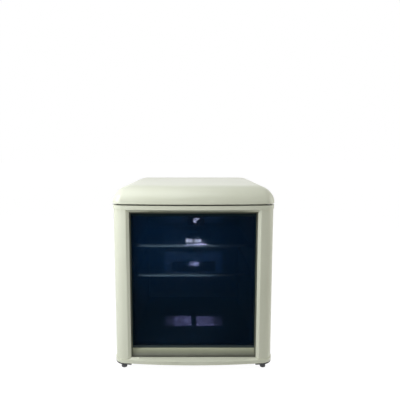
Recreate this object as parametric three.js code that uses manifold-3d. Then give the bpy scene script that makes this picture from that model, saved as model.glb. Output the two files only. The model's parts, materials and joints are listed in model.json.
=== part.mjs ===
// Compact thermoelectric refrigerator with a domed lid and a framed glass door.
// Millimetres, +Z up, the door faces -Y, and the origin lies on the floor under the middle.
// Inside this file depths are measured backwards from the foremost point of the lid.
import * as THREE from 'three';
import { mergeVertices } from 'three/addons/utils/BufferGeometryUtils.js';
import Module from 'manifold-3d';

const wasm = await Module();
wasm.setup();

// ---- Driving dimensions ----

const fit = 0.3; // gap between pieces that seat on each other
const floorGap = 21; // floor to the underside of the door

// Door
const doorHalf = 220; // half the width over the stiles
const doorHeight = 445;
const bowRadius = 1550; // plan radius of the bowed front
const frontGap = 0.3; // how far the door's middle lies behind the lid's front
const stileSetback = 1.5; // how far the stiles lie behind the end caps
const stileCorner = 30; // plan radius of the outer corners
const capProud = 1.8; // how far the end caps stand out from the stiles
const topCapHeight = 11;
const bottomCapHeight = 10;
const stileFace = 37; // width of a stile's front face
const bevelRun = 8.4; // width of the bevel between a stile's face and the recess
const bevelFall = 6.96; // how far the bevel falls behind the bow
const topBevel = 7; // height of the upper bevel
const bottomBevel = 5.1; // height of the lower bevel
const revealDepth = 16.3; // bevel to the outer pane's face
const rabbet = 4.5; // how far the panes reach behind the frame
const outerPane = 4;
const paneGap = 6;
const innerPane = 3;
const backFrame = 2.8; // thickness of the frame behind the inner pane
const backFrameInset = 1.5;
const spacerInset = 2;
const spacerWidth = 8;
const trimLip = 2.1; // how far the glazing trim narrows at the sides
const trimTopLip = 6; // and at the top
const sillRise = 20.6; // rise of the sloping sill
const sillLip = 1.5;
const stileWall = 2.4;

// Door seal
const sealReach = 19; // how far the seal reaches beyond the cavity
const sealTopReach = 16; // and above it
const sealWidth = 14;
const sealGap = 10; // space between door and cabinet
const sealCorner = 14;

// Hinge
const hingeInset = 14; // side of the door to the hinge's axis
const hingeDepth = 38;
const pinRadius = 4;
const pinClearance = 0.22;
const pinReach = 9; // how far a pin enters the door
const pinHead = { radius: 5.2, height: 2.4 };
const bushWall = 1.8;
const bushFlange = 2.2;
const bushFlangeReach = 3;
const plateThick = 3;
const plateReach = 64; // how far the corner plates run back from the cabinet's front
const screwRadius = 2.2;
const screwHead = { radius: 4.2, height: 2.2 };
const boltSetback = 22; // cabinet front to the first bolt
const boltPitch = 22;
const boltShift = 18; // how far the first bolt lies inside the hinge's axis
const hingePlateMargin = 14; // from a bolt to the edge of the upper plate
const hingePlateSide = 12; // and to its inner side
const eyeReach = 7.4; // from the hinge's axis to the side of the upper plate
const eyeFront = 9.4; // and to its front

// Cabinet
const cabinetDepth = 420;
const sheet = 1.2; // steel panels
const cabinetCorner = 35; // plan radius of the rear corners
const frontFlange = 35; // width of the side panels' front return
const frontCorner = 5;
const seam = 3.6; // gap between door and lid
const sideWall = 50; // insulated wall beside the cavity
const floorWall = 40; // underside of the door to the cavity's floor
const headWall = 28; // top of the door down to the cavity's ceiling
const panRib = { half: 5, height: 4, pitch: 60, inset: 40 };

// Cavity
const cavityCorner = 8;
const linerWall = 2;
const stripDepth = 5;
const stripLip = 1.5;

// Lid
const lidOverhang = 2.5; // how far the lid reaches past the stiles
const lidRearLap = 4; // and past the back panel
const lidHeight = 49.4;
const lidShoulder = 54; // run of the rounded shoulder
const shoulderPower = 2.1; // 2 is a circle, more is squarer
const lidFrontCorner = 32;
const lidRearCorner = 36;
const lidWall = 3;
const underplateThick = 2;
const lidCrown = 1; // rise of the lid's middle over the shoulders' end
const lidRib = 1.2; // half the thickness of a rib
const lidRibLift = 16; // how far the ribs stay above the rim

// Shelves
const upperRoom = 99; // cavity ceiling down to the upper shelf
const shelfPitch = 88;
const shelfSetback = 25; // cabinet front to the front of a shelf
const shelfRearGap = 36;
const shelfSideGap = 1.5;
const shelfGlass = 4;
const shelfTrimInset = 9.5;
const shelfTrimDepth = 12;
const shelfTrimHeight = 9;
const shelfTrimDrop = 3; // how far a trim hangs below the pane
const railReach = 6; // how far a shelf rail stands out of the liner
const railHeight = 6;
const railSlope = 1.2;
const railLead = 5; // how far a rail starts before its shelf

// Cooling fans, heat sinks and lamp
const fanDrop = 138; // cavity ceiling down to both fans' axis
const fanDepth = 12;
const fanHub = 16;
const fanRim = 2.5; // thinnest wall of a fan's frame
const fanHole = 2.1;
const fanHoleInset = 5;
const fanRoom = 4.7; // outer fan to the rear of the cabinet
const shaftRadius = 1.5;
const shaftClearance = 0.2;
const strutDepth = 3;
const tipClearance = 1.2;
const bladeCount = 7;
const bladeRoot = 13;
const bladeTip = 20;
const bladeRootPitch = 34;
const bladeTipPitch = 20;
const bladeThick = 1.3;
const bladeSweep = 0.35;
const innerFanHalf = 40;
const outerFanHalf = 46;
const sinkBase = 5;
const finThick = 1.2;
const coldFins = 15;
const hotFins = 21;
const coldSinkHalf = 45;
const coldFinDepth = 21.2;
const hotSinkHalf = 72;
const hotFinDepth = 12.4;
const peltierHalf = 20;
const peltierThick = 4;
const tunnelDepth = 15.3; // cavity's rear wall to the equipment bay
const tunnelGap = 1;
const bayHalf = 84; // equipment bay in the rear wall
const bayRise = 31.7; // underside of the cabinet to the bay
const bayHead = 104; // fans' axis up to the top of the bay
const bayCorner = 6;

// Air duct
const ductHalf = 107;
const ductTopGap = 13; // cavity ceiling to the duct cover
const ductDrop = 150; // fans' axis down to the duct cover's lower edge
const ductWall = 2.2;
const ductCorner = 9;
const ductSlot = { half: 2.6, pitch: 9, rows: 3, corner: 2.5 };
const outletHalf = 84.5;
const outletDrop = 90; // fans' axis down to the outlet
const outletHeight = 42;
const louvreDepth = 8;
const louvreRim = 3;
const louvreVanes = 5;

// Lamp
const lampDrop = 34; // top of the duct cover down to the lamp
const lampWindow = 24;
const lampWindowHeight = 11;
const lampGap = 8;
const lampDepth = 7;
const lampPocket = 3;
const lampRim = 3;

// Feet
const footInset = 22.5; // side of the door to a front foot
const footDepth = 35;
const footRadius = 8;
const footPad = 11;
const studRadius = 3;
const rearFootInset = 40;
const rearFootSetback = 32; // rear of the cabinet to a rear foot
const rearFootRadius = 13;

// Rear cover, inlet and board
const coverThick = 2.5;
const coverLap = 7; // how far the cover reaches past the bay
const coverCorner = 8;
const guardBulge = 5.7; // how far the fan guard stands out of the back panel
const guardHub = 13; // radius of the disc in the middle of the guard
const guardPitch = 8; // spacing of the guard's rings
const guardWire = 2.4;
const slot = { width: 7, length: 36, pitch: 17, columns: 4, gap: 10 };
const inletHalf = 13.8;
const inletRise = 23; // bottom of the bay to the inlet
const inletHeight = 20;
const inletWall = 2;
const inletDepth = 17;
const inletFlange = 9;
const inletPin = { half: 1, height: 2, length: 14, spread: 7, rise: 2 };
const boardThick = 1.6;
const boardSetback = 9; // rear of the cabinet to the board
const boardHalf = 60; // half the distance between its fixings
const boardHeight = 58;
const boardDrop = 94; // fans' axis down to the upper fixings
const boardMargin = 6;
const bossRadius = 3.5;

// Display
const displayX = 7;
const displayWidth = 46;
const displayHeight = 24;
const displayDrop = 16; // top of the recess down to the module
const displayNeck = 9;

// ---- Derived levels ----

const bow = (x, front) => front + bowRadius - Math.sqrt(bowRadius ** 2 - x ** 2);

// Door
const capFront = frontGap;
const stileFront = capFront + stileSetback;
const bevelOuterHalf = doorHalf - stileFace;
const bevelInnerHalf = bevelOuterHalf - bevelRun;
const bevelDepth = bow(bevelInnerHalf, capFront) + bevelFall;
const glassDepth = bevelDepth + revealDepth;
const outerPaneBack = glassDepth + outerPane;
const spacerFront = outerPaneBack + fit;
const spacerBack = spacerFront + paneGap;
const innerPaneFront = spacerBack + fit;
const innerPaneBack = innerPaneFront + innerPane;
const backFrameFront = innerPaneBack + fit;
const doorDepth = backFrameFront + backFrame;
const doorLow = floorGap;
const doorHigh = doorLow + doorHeight;
const topCapLow = doorHigh - topCapHeight;
const bottomCapHigh = doorLow + bottomCapHeight;
const recessHigh = topCapLow - topBevel;
const recessLow = bottomCapHigh + bottomBevel;
const glassHalf = bevelInnerHalf + rabbet;
const glassLow = recessLow - rabbet;
const glassHigh = recessHigh + rabbet;

// Cabinet and cavity
const cabinetFront = doorDepth + sealGap;
const cabinetBack = cabinetFront + cabinetDepth;
const overallDepth = cabinetBack + fit + guardBulge;
const plateHigh = doorLow - 1;
const plateLow = plateHigh - plateThick;
const lidLow = doorHigh + seam;
const cabinetLow = plateHigh + fit;
const cabinetHigh = lidLow - fit;
const flangeEdge = doorHalf - frontFlange;
const cavityHalf = doorHalf - sideWall;
const cavityLow = doorLow + floorWall;
const cavityHigh = doorHigh - headWall;
const stripWidth = sideWall - frontFlange - 2 * fit;
const stripOuterHalf = cavityHalf + fit + stripWidth;
const linerFront = cabinetFront + stripDepth + fit;

// Seal
const sealOuterHalf = cavityHalf + sealReach;
const sealLow = cavityLow - sealReach;
const sealHigh = cavityHigh + sealTopReach;
const backFrameInner = sealOuterHalf - sealWidth - 2;

// Equipment, from the rear panel towards the cavity
const bayFront = cabinetBack - fanRoom - fanDepth - fit - hotFinDepth - sinkBase - fit;
const cavityBack = bayFront - tunnelDepth;
const hotFace = bayFront + fit;
const hotTip = hotFace + sinkBase + hotFinDepth;
const outerFanFront = hotTip + fit;
const outerFanBack = outerFanFront + fanDepth;
const coldBase = bayFront - peltierThick - fit;
const innerFanBack = coldBase - sinkBase - coldFinDepth - fit;
const innerFanFront = innerFanBack - fanDepth;
const ductFront = innerFanFront - fit - ductWall;
const fanHeight = cavityHigh - fanDrop;
const innerFanBore = innerFanHalf - fanRim;
const outerFanBore = outerFanHalf - fanRim;
const tunnelHalf = coldSinkHalf + tunnelGap;
const bayLow = cabinetLow + bayRise;
const bayHigh = fanHeight + bayHead;
const ductLow = fanHeight - ductDrop;
const ductHigh = cavityHigh - ductTopGap;
const outletHigh = fanHeight - outletDrop;
const outletLow = outletHigh - outletHeight;
const lampHeight = ductHigh - lampDrop;
const inletLow = bayLow + inletRise;
const inletHigh = inletLow + inletHeight;
const boardBack = cabinetBack - boardSetback;
const boardHigh = fanHeight - boardDrop;
const boardLow = boardHigh - boardHeight;

// Lid, shelves, hinge and feet
const lidHalf = doorHalf + lidOverhang;
const lidDepth = cabinetBack + lidRearLap;
const upperShelf = cavityHigh - upperRoom;
const shelfHeights = { lower: upperShelf - shelfPitch, upper: upperShelf };
const shelfFront = cabinetFront + shelfSetback;
const shelfBack = cavityBack - shelfRearGap;
const hingeX = doorHalf - hingeInset;
const bushRadius = pinRadius + pinClearance + bushWall;
const topPlateLow = cabinetHigh + fit;
const footX = doorHalf - footInset;
const rearFootX = doorHalf - rearFootInset;
const rearFootDepth = cabinetBack - rearFootSetback;
const hingePlateLeft = hingeX - boltShift - hingePlateSide;
const hingePlateFront = hingeDepth - eyeFront;
const plateLeft = hingeX - 2 * boltShift;
const boltPattern = [
  [hingeX - boltShift, cabinetFront + boltSetback],
  [hingeX, cabinetFront + boltSetback + boltPitch],
];

// ---- Finishes ----

const finish = (color, roughness, metalness = 0) => ({ color, roughness, metalness });
const finishes = {
  cream: finish(0xdfe2d0, 0.28),
  trim: finish(0x7d806c, 0.45),
  black: finish(0x15171c, 0.5),
  darkSteel: finish(0x3b3d40, 0.5, 0.7),
  steel: finish(0xb9bcc0, 0.35, 0.9),
  aluminium: finish(0xc5c8cb, 0.4, 0.9),
  tintedGlass: finish(0x0b1f3c, 0.05),
  clearGlass: finish(0xb8c6cc, 0.05),
  rubber: finish(0x2b2c2e, 0.8),
  foam: finish(0xe3d9a8, 0.95),
  ceramic: finish(0xe9e9e4, 0.6),
  board: finish(0x1f5a3a, 0.6),
  lamp: finish(0xcfc8ff, 0.3),
};

// ---- Solids ----

function toSolid(geometry) {
  const bare = geometry.index ? geometry.toNonIndexed() : geometry.clone();
  bare.deleteAttribute('normal');
  bare.deleteAttribute('uv');
  const merged = facingOut(mergeVertices(bare, 1e-4));
  const vertProperties = new Float32Array(merged.attributes.position.array);
  const triVerts = new Uint32Array(merged.index.array);
  return new wasm.Manifold(new wasm.Mesh({ numProp: 3, vertProperties, triVerts }));
}

// Turns a closed geometry's faces outwards.
function facingOut(geometry) {
  const { array } = geometry.attributes.position;
  const index = geometry.index.array;
  const [a, b, c] = [new THREE.Vector3(), new THREE.Vector3(), new THREE.Vector3()];
  let volume = 0;
  for (let corner = 0; corner < index.length; corner += 3) {
    a.fromArray(array, 3 * index[corner]);
    b.fromArray(array, 3 * index[corner + 1]);
    c.fromArray(array, 3 * index[corner + 2]);
    volume += a.dot(b.cross(c));
  }
  if (volume < 0) {
    for (let corner = 0; corner < index.length; corner += 3) {
      [index[corner + 1], index[corner + 2]] = [index[corner + 2], index[corner + 1]];
    }
  }
  return geometry;
}

function toGeometry(solid) {
  const mesh = solid.getMesh();
  const geometry = new THREE.BufferGeometry();
  geometry.setAttribute('position', new THREE.BufferAttribute(new Float32Array(mesh.vertProperties), 3));
  geometry.setIndex(new THREE.BufferAttribute(new Uint32Array(mesh.triVerts), 1));
  geometry.computeVertexNormals();
  return geometry;
}

const ordered = (a, b) => (a < b ? [a, b] : [b, a]);
const join = (first, ...others) => others.reduce((whole, piece) => whole.add(piece), first);
const cut = (first, ...others) => others.reduce((whole, piece) => whole.subtract(piece), first);

const X = new THREE.Vector3(1, 0, 0);
const Y = new THREE.Vector3(0, 1, 0);
const Z = new THREE.Vector3(0, 0, 1);

// An outline drawn out along one axis. Along X it lies in depth and height, along Y in
// width and height, and along Z in width and depth.
function extrude(shape, axis, from, to, curveSegments = 2) {
  const geometry = new THREE.ExtrudeGeometry(shape, { depth: to - from, bevelEnabled: false, curveSegments });
  if (axis === 'x') {
    geometry.applyMatrix4(new THREE.Matrix4().makeBasis(Y, Z, X)).translate(from, 0, 0);
  } else if (axis === 'y') {
    geometry.applyMatrix4(new THREE.Matrix4().makeBasis(X, Z, Y.clone().negate())).translate(0, to, 0);
  } else {
    geometry.translate(0, 0, from);
  }
  return toSolid(geometry);
}

const polygon = (points) => new THREE.Shape(points.map(([a, b]) => new THREE.Vector2(a, b)));

function rectangle(a0, a1, b0, b1, radius = 0) {
  if (radius === 0) return polygon([[a0, b0], [a1, b0], [a1, b1], [a0, b1]]);
  const shape = new THREE.Shape();
  shape.moveTo(a0 + radius, b0);
  shape.lineTo(a1 - radius, b0);
  shape.absarc(a1 - radius, b0 + radius, radius, -Math.PI / 2, 0);
  shape.lineTo(a1, b1 - radius);
  shape.absarc(a1 - radius, b1 - radius, radius, 0, Math.PI / 2);
  shape.lineTo(a0 + radius, b1);
  shape.absarc(a0 + radius, b1 - radius, radius, Math.PI / 2, Math.PI);
  shape.lineTo(a0, b0 + radius);
  shape.absarc(a0 + radius, b0 + radius, radius, Math.PI, 1.5 * Math.PI);
  return shape;
}

function disc(radius, a = 0, b = 0) {
  const shape = new THREE.Shape();
  for (let quarter = 0; quarter < 4; quarter += 1) {
    shape.absarc(a, b, radius, (quarter * Math.PI) / 2, ((quarter + 1) * Math.PI) / 2);
  }
  return shape;
}

const block = (x0, x1, y0, y1, z0, z1) => extrude(rectangle(x0, x1, y0, y1), 'z', z0, z1);

// A profile of radius and height turned about the vertical line through x and depth.
function turned(profile, x, depth, segments = 32) {
  const points = profile.map(([radius, z]) => new THREE.Vector2(radius, z));
  const geometry = new THREE.LatheGeometry(points, segments);
  return toSolid(geometry.rotateX(Math.PI / 2).translate(x, depth, 0));
}

// Closed skin over rings of equally many points. The rings close on themselves, and the
// ends are closed over their middles, or joined to each other when the rings form a loop.
function skin(rings, loop = false) {
  const count = rings[0].length;
  const positions = rings.flat().flatMap((point) => [point.x, point.y, point.z]);
  const index = [];
  const spans = loop ? rings.length : rings.length - 1;
  for (let ring = 0; ring < spans; ring += 1) {
    const next = (ring + 1) % rings.length;
    for (let side = 0; side < count; side += 1) {
      const after = (side + 1) % count;
      const [a, b] = [ring * count + side, ring * count + after];
      const [c, d] = [next * count + side, next * count + after];
      index.push(a, b, d, a, d, c);
    }
  }
  if (!loop) {
    for (const [ring, turn] of [[0, -1], [rings.length - 1, 1]]) {
      const middle = positions.length / 3;
      const centre = rings[ring].reduce((sum, point) => sum.add(point), new THREE.Vector3());
      centre.divideScalar(count);
      positions.push(centre.x, centre.y, centre.z);
      for (let side = 0; side < count; side += 1) {
        const [a, b] = [ring * count + side, ring * count + ((side + 1) % count)];
        if (turn > 0) index.push(a, b, middle);
        else index.push(b, a, middle);
      }
    }
  }
  const geometry = new THREE.BufferGeometry();
  geometry.setAttribute('position', new THREE.Float32BufferAttribute(positions, 3));
  geometry.setIndex(index);
  return toSolid(geometry);
}

// A frame in the plane of the door: a closed profile of inset and depth carried round a
// rectangle with rounded corners.
function frameRing(profile, half, low, high, radius, steps = 4) {
  const rings = [];
  const corners = [[1, 1], [-1, 1], [-1, -1], [1, -1]];
  corners.forEach(([sideX, sideZ], quarter) => {
    for (let step = 0; step <= steps; step += 1) {
      const angle = (quarter + step / steps) * (Math.PI / 2);
      const ring = profile.map(([inset, depth]) => {
        const turn = Math.max(radius - inset, 0.2);
        const x = sideX * (half - inset - turn) + turn * Math.cos(angle);
        const z = (sideZ > 0 ? high - inset - turn : low + inset + turn) + turn * Math.sin(angle);
        return new THREE.Vector3(x, depth, z);
      });
      rings.push(ring);
    }
  });
  return skin(rings, true);
}

// Plan outline with a bowed front whose corners run smoothly into straight sides.
function bowedPlan({ half, front, corner, back, backCorner }, steps = 5, bowSteps = 12) {
  const points = [];
  const centreDepth = front + bowRadius;
  const reach = bowRadius - corner;
  const lean = Math.asin((half - corner) / reach);
  for (let step = 0; step <= bowSteps; step += 1) {
    const angle = -lean + (2 * lean * step) / bowSteps;
    points.push([bowRadius * Math.sin(angle), centreDepth - bowRadius * Math.cos(angle)]);
  }
  const cornerDepth = centreDepth - reach * Math.cos(lean);
  for (let step = 1; step <= steps; step += 1) {
    const angle = lean + ((Math.PI / 2 - lean) * step) / steps;
    points.push([half - corner + corner * Math.sin(angle), cornerDepth - corner * Math.cos(angle)]);
  }
  const rear = Math.min(backCorner, 0.8 * (back - cornerDepth));
  for (let step = 0; step <= steps; step += 1) {
    const angle = ((Math.PI / 2) * step) / steps;
    points.push([half - rear + rear * Math.cos(angle), back - rear + rear * Math.sin(angle)]);
  }
  const rightSide = points.slice(bowSteps + 1);
  const leftSide = rightSide.map(([x, depth]) => [-x, depth]).reverse();
  return [...points, ...leftSide];
}

// ---- The object ----

const fridge = new THREE.Group();
fridge.position.y = -overallDepth / 2;

function part(name, solid, look) {
  const mesh = new THREE.Mesh(toGeometry(solid), new THREE.MeshStandardMaterial(finishes[look]));
  mesh.name = name;
  fridge.add(mesh);
}

// -- Cabinet shell --

const cabinetPlan = (inset) => {
  const [x, front, back] = [doorHalf - inset, cabinetFront + inset, cabinetBack - inset];
  const rear = cabinetCorner - inset;
  const shape = new THREE.Shape();
  const turn = Math.max(frontCorner - inset, 0.5);
  shape.moveTo(-x + turn, front);
  shape.lineTo(x - turn, front);
  shape.absarc(x - turn, front + turn, turn, -Math.PI / 2, 0);
  shape.lineTo(x, back - rear);
  shape.absarc(x - rear, back - rear, rear, 0, Math.PI / 2);
  shape.lineTo(-x + rear, back);
  shape.absarc(-x + rear, back - rear, rear, Math.PI / 2, Math.PI);
  shape.lineTo(-x, front + turn);
  shape.absarc(-x + turn, front + turn, turn, Math.PI, 1.5 * Math.PI);
  return shape;
};

function sidePanel(side) {
  const wrap = cut(
    extrude(cabinetPlan(0), 'z', cabinetLow, cabinetHigh, 4),
    extrude(cabinetPlan(sheet), 'z', cabinetLow - 1, cabinetHigh + 1, 4),
  );
  const [x0, x1] = side > 0 ? [flangeEdge, doorHalf + 1] : [-doorHalf - 1, -flangeEdge];
  const half = block(x0, x1, cabinetFront - 1, cabinetBack + 1, cabinetLow - 2, cabinetHigh + 2);
  return wrap.intersect(half);
}

// Clearance holes for the screws, on one or both sides.
const boltHoles = (low, high, sides) => sides.flatMap((side) =>
  boltPattern.map(([x, depth]) => extrude(disc(screwRadius + fit, side * x, depth), 'z', low, high, 1)));

// A steel tray that fits inside the side panels, with its front edge folded over.
function closingPlate(level, flangeFrom, flangeTo) {
  const inside = extrude(cabinetPlan(sheet + fit), 'z', level, level + sheet, 4);
  const edge = flangeEdge - fit;
  const fold = block(-edge, edge, cabinetFront, cabinetFront + sheet, flangeFrom, flangeTo);
  const tongue = block(-edge, edge, cabinetFront, cabinetFront + 2 * sheet + fit, level, level + sheet);
  return join(inside, fold, tongue);
}

function basePan() {
  const pan = closingPlate(cabinetLow, cabinetLow, cavityLow - stripWidth - 2 * fit);
  const { half, height, pitch, inset } = panRib;
  const ribs = [-2, -1, 0, 1, 2].map((place) => {
    const x = place * pitch;
    const [front, back] = [cabinetFront + inset, cabinetBack - inset];
    return block(x - half, x + half, front, back, cabinetLow, cabinetLow + height);
  });
  return cut(join(pan, ...ribs), ...boltHoles(cabinetLow - 1, cabinetLow + sheet + 1, [-1, 1]));
}

function topPlate() {
  const plate = closingPlate(cabinetHigh - sheet, cavityHigh + stripWidth + 2 * fit, cabinetHigh);
  return cut(plate, ...boltHoles(cabinetHigh - sheet - 1, cabinetHigh + 1, [1]));
}

function backPanel() {
  const edge = flangeEdge - fit;
  const outline = rectangle(-edge, edge, cabinetLow, cabinetHigh);
  outline.holes.push(rectangle(-bayHalf, bayHalf, bayLow, bayHigh, bayCorner));
  return extrude(outline, 'y', cabinetBack - sheet, cabinetBack);
}

// Plastic frame that closes the wall between the panels' flanges and the cavity.
function breakerStrip() {
  const profile = [
    [0, cabinetFront],
    [stripWidth, cabinetFront],
    [stripWidth, linerFront - fit],
    [stripWidth - stripLip, linerFront - fit],
    [stripWidth - stripLip, cabinetFront + stripLip],
    [0, cabinetFront + stripLip],
  ];
  const half = stripOuterHalf;
  const spread = half - cavityHalf;
  return frameRing(profile, half, cavityLow - spread, cavityHigh + spread, stripWidth + cavityCorner);
}

// One side's groove for one shelf: two ribs joined at the rear by a stop.
function shelfRail(side, level) {
  const [wall, tip] = [side * (cavityHalf + linerWall / 2), side * (cavityHalf - railReach)];
  const [front, back] = [shelfFront - railLead, cavityBack + linerWall / 2];
  const [seat, cover] = [level - fit, level + shelfGlass + fit];
  const rib = (foot, head, from) => {
    const points = [[wall, foot - railSlope], [tip, foot], [tip, head], [wall, head]];
    return extrude(polygon(points), 'y', from, back);
  };
  const lower = rib(seat - railHeight, seat, front);
  const upper = extrude(
    polygon([[wall, cover], [tip, cover], [tip, cover + railHeight], [wall, cover + railHeight + railSlope]]),
    'y',
    front,
    back,
  );
  const stop = rib(seat - railHeight, cover + railHeight, shelfBack - shelfTrimDrop + fit);
  return join(lower, upper, stop);
}

function innerLiner() {
  const outer = rectangle(
    -cavityHalf - linerWall,
    cavityHalf + linerWall,
    cavityLow - linerWall,
    cavityHigh + linerWall,
    cavityCorner + linerWall,
  );
  const inner = rectangle(-cavityHalf, cavityHalf, cavityLow, cavityHigh, cavityCorner);
  const tunnel = rectangle(-tunnelHalf, tunnelHalf, fanHeight - tunnelHalf, fanHeight + tunnelHalf);
  const shell = cut(
    extrude(outer, 'y', linerFront, cavityBack + linerWall),
    extrude(inner, 'y', linerFront - 1, cavityBack),
    extrude(tunnel, 'y', cavityBack - 1, cavityBack + linerWall + 1),
  );
  const rails = Object.values(shelfHeights).flatMap((level) => [shelfRail(-1, level), shelfRail(1, level)]);
  return join(shell, ...rails);
}

function foamInsulation() {
  const [low, high] = [cabinetLow + panRib.height + fit, cabinetHigh - sheet - fit];
  const body = extrude(cabinetPlan(sheet + fit), 'z', low, high, 4);
  const front = cabinetFront + 2 * sheet + 2 * fit;
  const clear = linerWall + fit;
  const cavity = rectangle(
    -cavityHalf - clear,
    cavityHalf + clear,
    cavityLow - clear,
    cavityHigh + clear,
    cavityCorner + clear,
  );
  const [bottom, top] = [fanHeight - tunnelHalf, fanHeight + tunnelHalf];
  return cut(
    body,
    block(-doorHalf, doorHalf, cabinetFront - 1, front, low - 1, high + 1),
    extrude(cavity, 'y', front - 1, cavityBack + clear),
    block(-tunnelHalf, tunnelHalf, cavityBack, bayFront + 1, bottom, top),
    block(-bayHalf, bayHalf, bayFront, cabinetBack + 1, bayLow, bayHigh),
  );
}

part('side_panel_left', sidePanel(-1), 'cream');
part('side_panel_right', sidePanel(1), 'cream');
part('top_plate', topPlate(), 'steel');
part('base_pan', basePan(), 'steel');
part('back_panel', backPanel(), 'cream');
part('breaker_strip', breakerStrip(), 'black');
part('inner_liner', innerLiner(), 'black');
part('foam_insulation', foamInsulation(), 'foam');

// -- Lid --

const lidPlan = (inset, offset) =>
  bowedPlan({
    half: lidHalf - offset - inset,
    front: offset + inset,
    corner: Math.max(lidFrontCorner - offset - 0.55 * inset, 4),
    back: lidDepth - offset - inset,
    backCorner: Math.max(lidRearCorner - offset - 0.55 * inset, 4),
  });

// The dome's rings follow a rounded shoulder, from an upright rim to a level top.
function lidDome(offset, skirt, steps) {
  const rings = [];
  const ring = (inset, height) =>
    lidPlan(inset, offset).map(([x, depth]) => new THREE.Vector3(x, depth, height));
  if (skirt > 0) rings.push(ring(0, lidLow - skirt));
  for (let step = 0; step <= steps; step += 1) {
    const angle = ((Math.PI / 2) * step) / steps;
    const run = (lidShoulder - offset) * (1 - Math.cos(angle) ** (2 / shoulderPower));
    const rise = (lidHeight - lidCrown - offset) * Math.sin(angle) ** (2 / shoulderPower);
    rings.push(ring(run, lidLow + rise));
  }
  const middle = lidDepth / 2;
  const top = rings.at(-1).map((point) => {
    const crown = point.clone();
    crown.x *= 0.5;
    crown.y = middle + 0.5 * (crown.y - middle);
    crown.z = lidLow + lidHeight - offset;
    return crown;
  });
  return skin([...rings, top]);
}

function lid() {
  const dome = lidDome(0, 0, 9);
  const ribs = [];
  const [low, high] = [lidLow + lidRibLift, lidLow + lidHeight];
  for (const share of [-0.5, 0.5]) {
    const [x, depth] = [share * lidHalf, lidDepth / 2 + share * lidDepth * 0.5];
    ribs.push(block(x - lidRib, x + lidRib, 0, lidDepth, low, high));
    ribs.push(block(-lidHalf, lidHalf, depth - lidRib, depth + lidRib, low, high));
  }
  return join(cut(dome, lidDome(lidWall, 1, 4)), join(...ribs).intersect(dome));
}

// Closes the underside of the lid's overhang, above the door.
function lidUnderplate() {
  const plate = extrude(polygon(lidPlan(0, lidWall + 2 * fit)), 'z', lidLow + fit, lidLow + underplateThick);
  const [low, high] = [lidLow - 1, lidLow + underplateThick + 1];
  const back = block(-lidHalf, lidHalf, cabinetFront - fit, lidDepth, low, high);
  const notch = block(hingePlateLeft - 5 * fit, lidHalf, hingePlateFront - 5, cabinetFront, low, high);
  return cut(plate, back, notch);
}

part('lid', lid(), 'cream');
part('lid_underplate', lidUnderplate(), 'cream');

// -- Hinges and feet --

function topHingePlate() {
  const right = hingeX + eyeReach;
  const back = cabinetFront + boltSetback + boltPitch + hingePlateMargin;
  const outline = polygon([
    [hingePlateLeft, cabinetFront - 4],
    [hingeX - 12, hingePlateFront],
    [right, hingePlateFront],
    [right, back],
    [hingeX - hingePlateMargin, back],
    [hingePlateLeft, cabinetFront + boltSetback + hingePlateMargin],
  ]);
  outline.holes.push(disc(pinRadius + fit, hingeX, hingeDepth));
  boltPattern.forEach(([x, depth]) => outline.holes.push(disc(screwRadius + fit, x, depth)));
  return extrude(outline, 'z', topPlateLow, topPlateLow + plateThick);
}

// The lower plate follows the door's corner and carries the foot, and on the right the pin.
function cornerPlate(side) {
  const plan = bowedPlan({
    half: doorHalf + capProud - fit,
    front: capFront + fit,
    corner: stileCorner + capProud,
    back: cabinetFront + plateReach,
    backCorner: 8,
  });
  const beyond = plateReach + 10;
  const neck = footX - 3 * footRadius;
  const flush = doorHalf - fit; // beside the cabinet's panel
  const reach = polygon([
    [side * neck, 0],
    [side * (doorHalf + 5), 0],
    [side * (doorHalf + 5), doorDepth],
    [side * flush, doorDepth],
    [side * flush, cabinetFront + beyond],
    [side * plateLeft, cabinetFront + beyond],
    [side * plateLeft, cabinetFront],
    [side * neck, footDepth + 8],
  ]);
  const [low, high] = [plateLow - 1, plateHigh + 1];
  const holes = [
    extrude(disc(studRadius + fit, side * footX, footDepth), 'z', low, high),
    ...boltHoles(low, high, [side]),
  ];
  if (side > 0) holes.push(extrude(disc(pinRadius + fit, hingeX, hingeDepth), 'z', low, high));
  const plate = extrude(polygon(plan), 'z', plateLow, plateHigh);
  return cut(plate.intersect(extrude(reach, 'z', low, high)), ...holes);
}

// Pin and screw stand on end: a head beyond the plate and a shank through it.
function headed([x, depth], seat, up, head, shank, length) {
  const z = (distance) => seat - up * distance;
  const chamfer = 0.15 * shank;
  const profile = [
    [0, z(head.height)],
    [head.radius * 0.75, z(head.height)],
    [head.radius, z(head.height * 0.6)],
    [head.radius, z(0)],
    [shank, z(0)],
    [shank, z(chamfer - length)],
    [shank - chamfer, z(-length)],
    [0, z(-length)],
  ];
  return turned(profile, x, depth, 10);
}

function frontFoot(side) {
  const profile = [
    [0, 0],
    [footRadius - 1, 0],
    [footRadius, 1],
    [footRadius, footPad - 4],
    [footRadius - 2, footPad - 1],
    [studRadius + 1.5, footPad - 1],
    [studRadius + 1.5, footPad],
    [studRadius, footPad],
    [studRadius, plateHigh],
    [0, plateHigh],
  ];
  return turned(profile, side * footX, footDepth, 16);
}

function rearFoot(side) {
  const high = cabinetLow - fit;
  const profile = [
    [0, 0],
    [rearFootRadius - 2, 0],
    [rearFootRadius, 2],
    [rearFootRadius + 1, high],
    [0, high],
  ];
  return turned(profile, side * rearFootX, rearFootDepth, 16);
}

part('top_hinge_plate', topHingePlate(), 'darkSteel');
part('bottom_hinge_plate', cornerPlate(1), 'darkSteel');
part('foot_plate_left', cornerPlate(-1), 'darkSteel');

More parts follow.
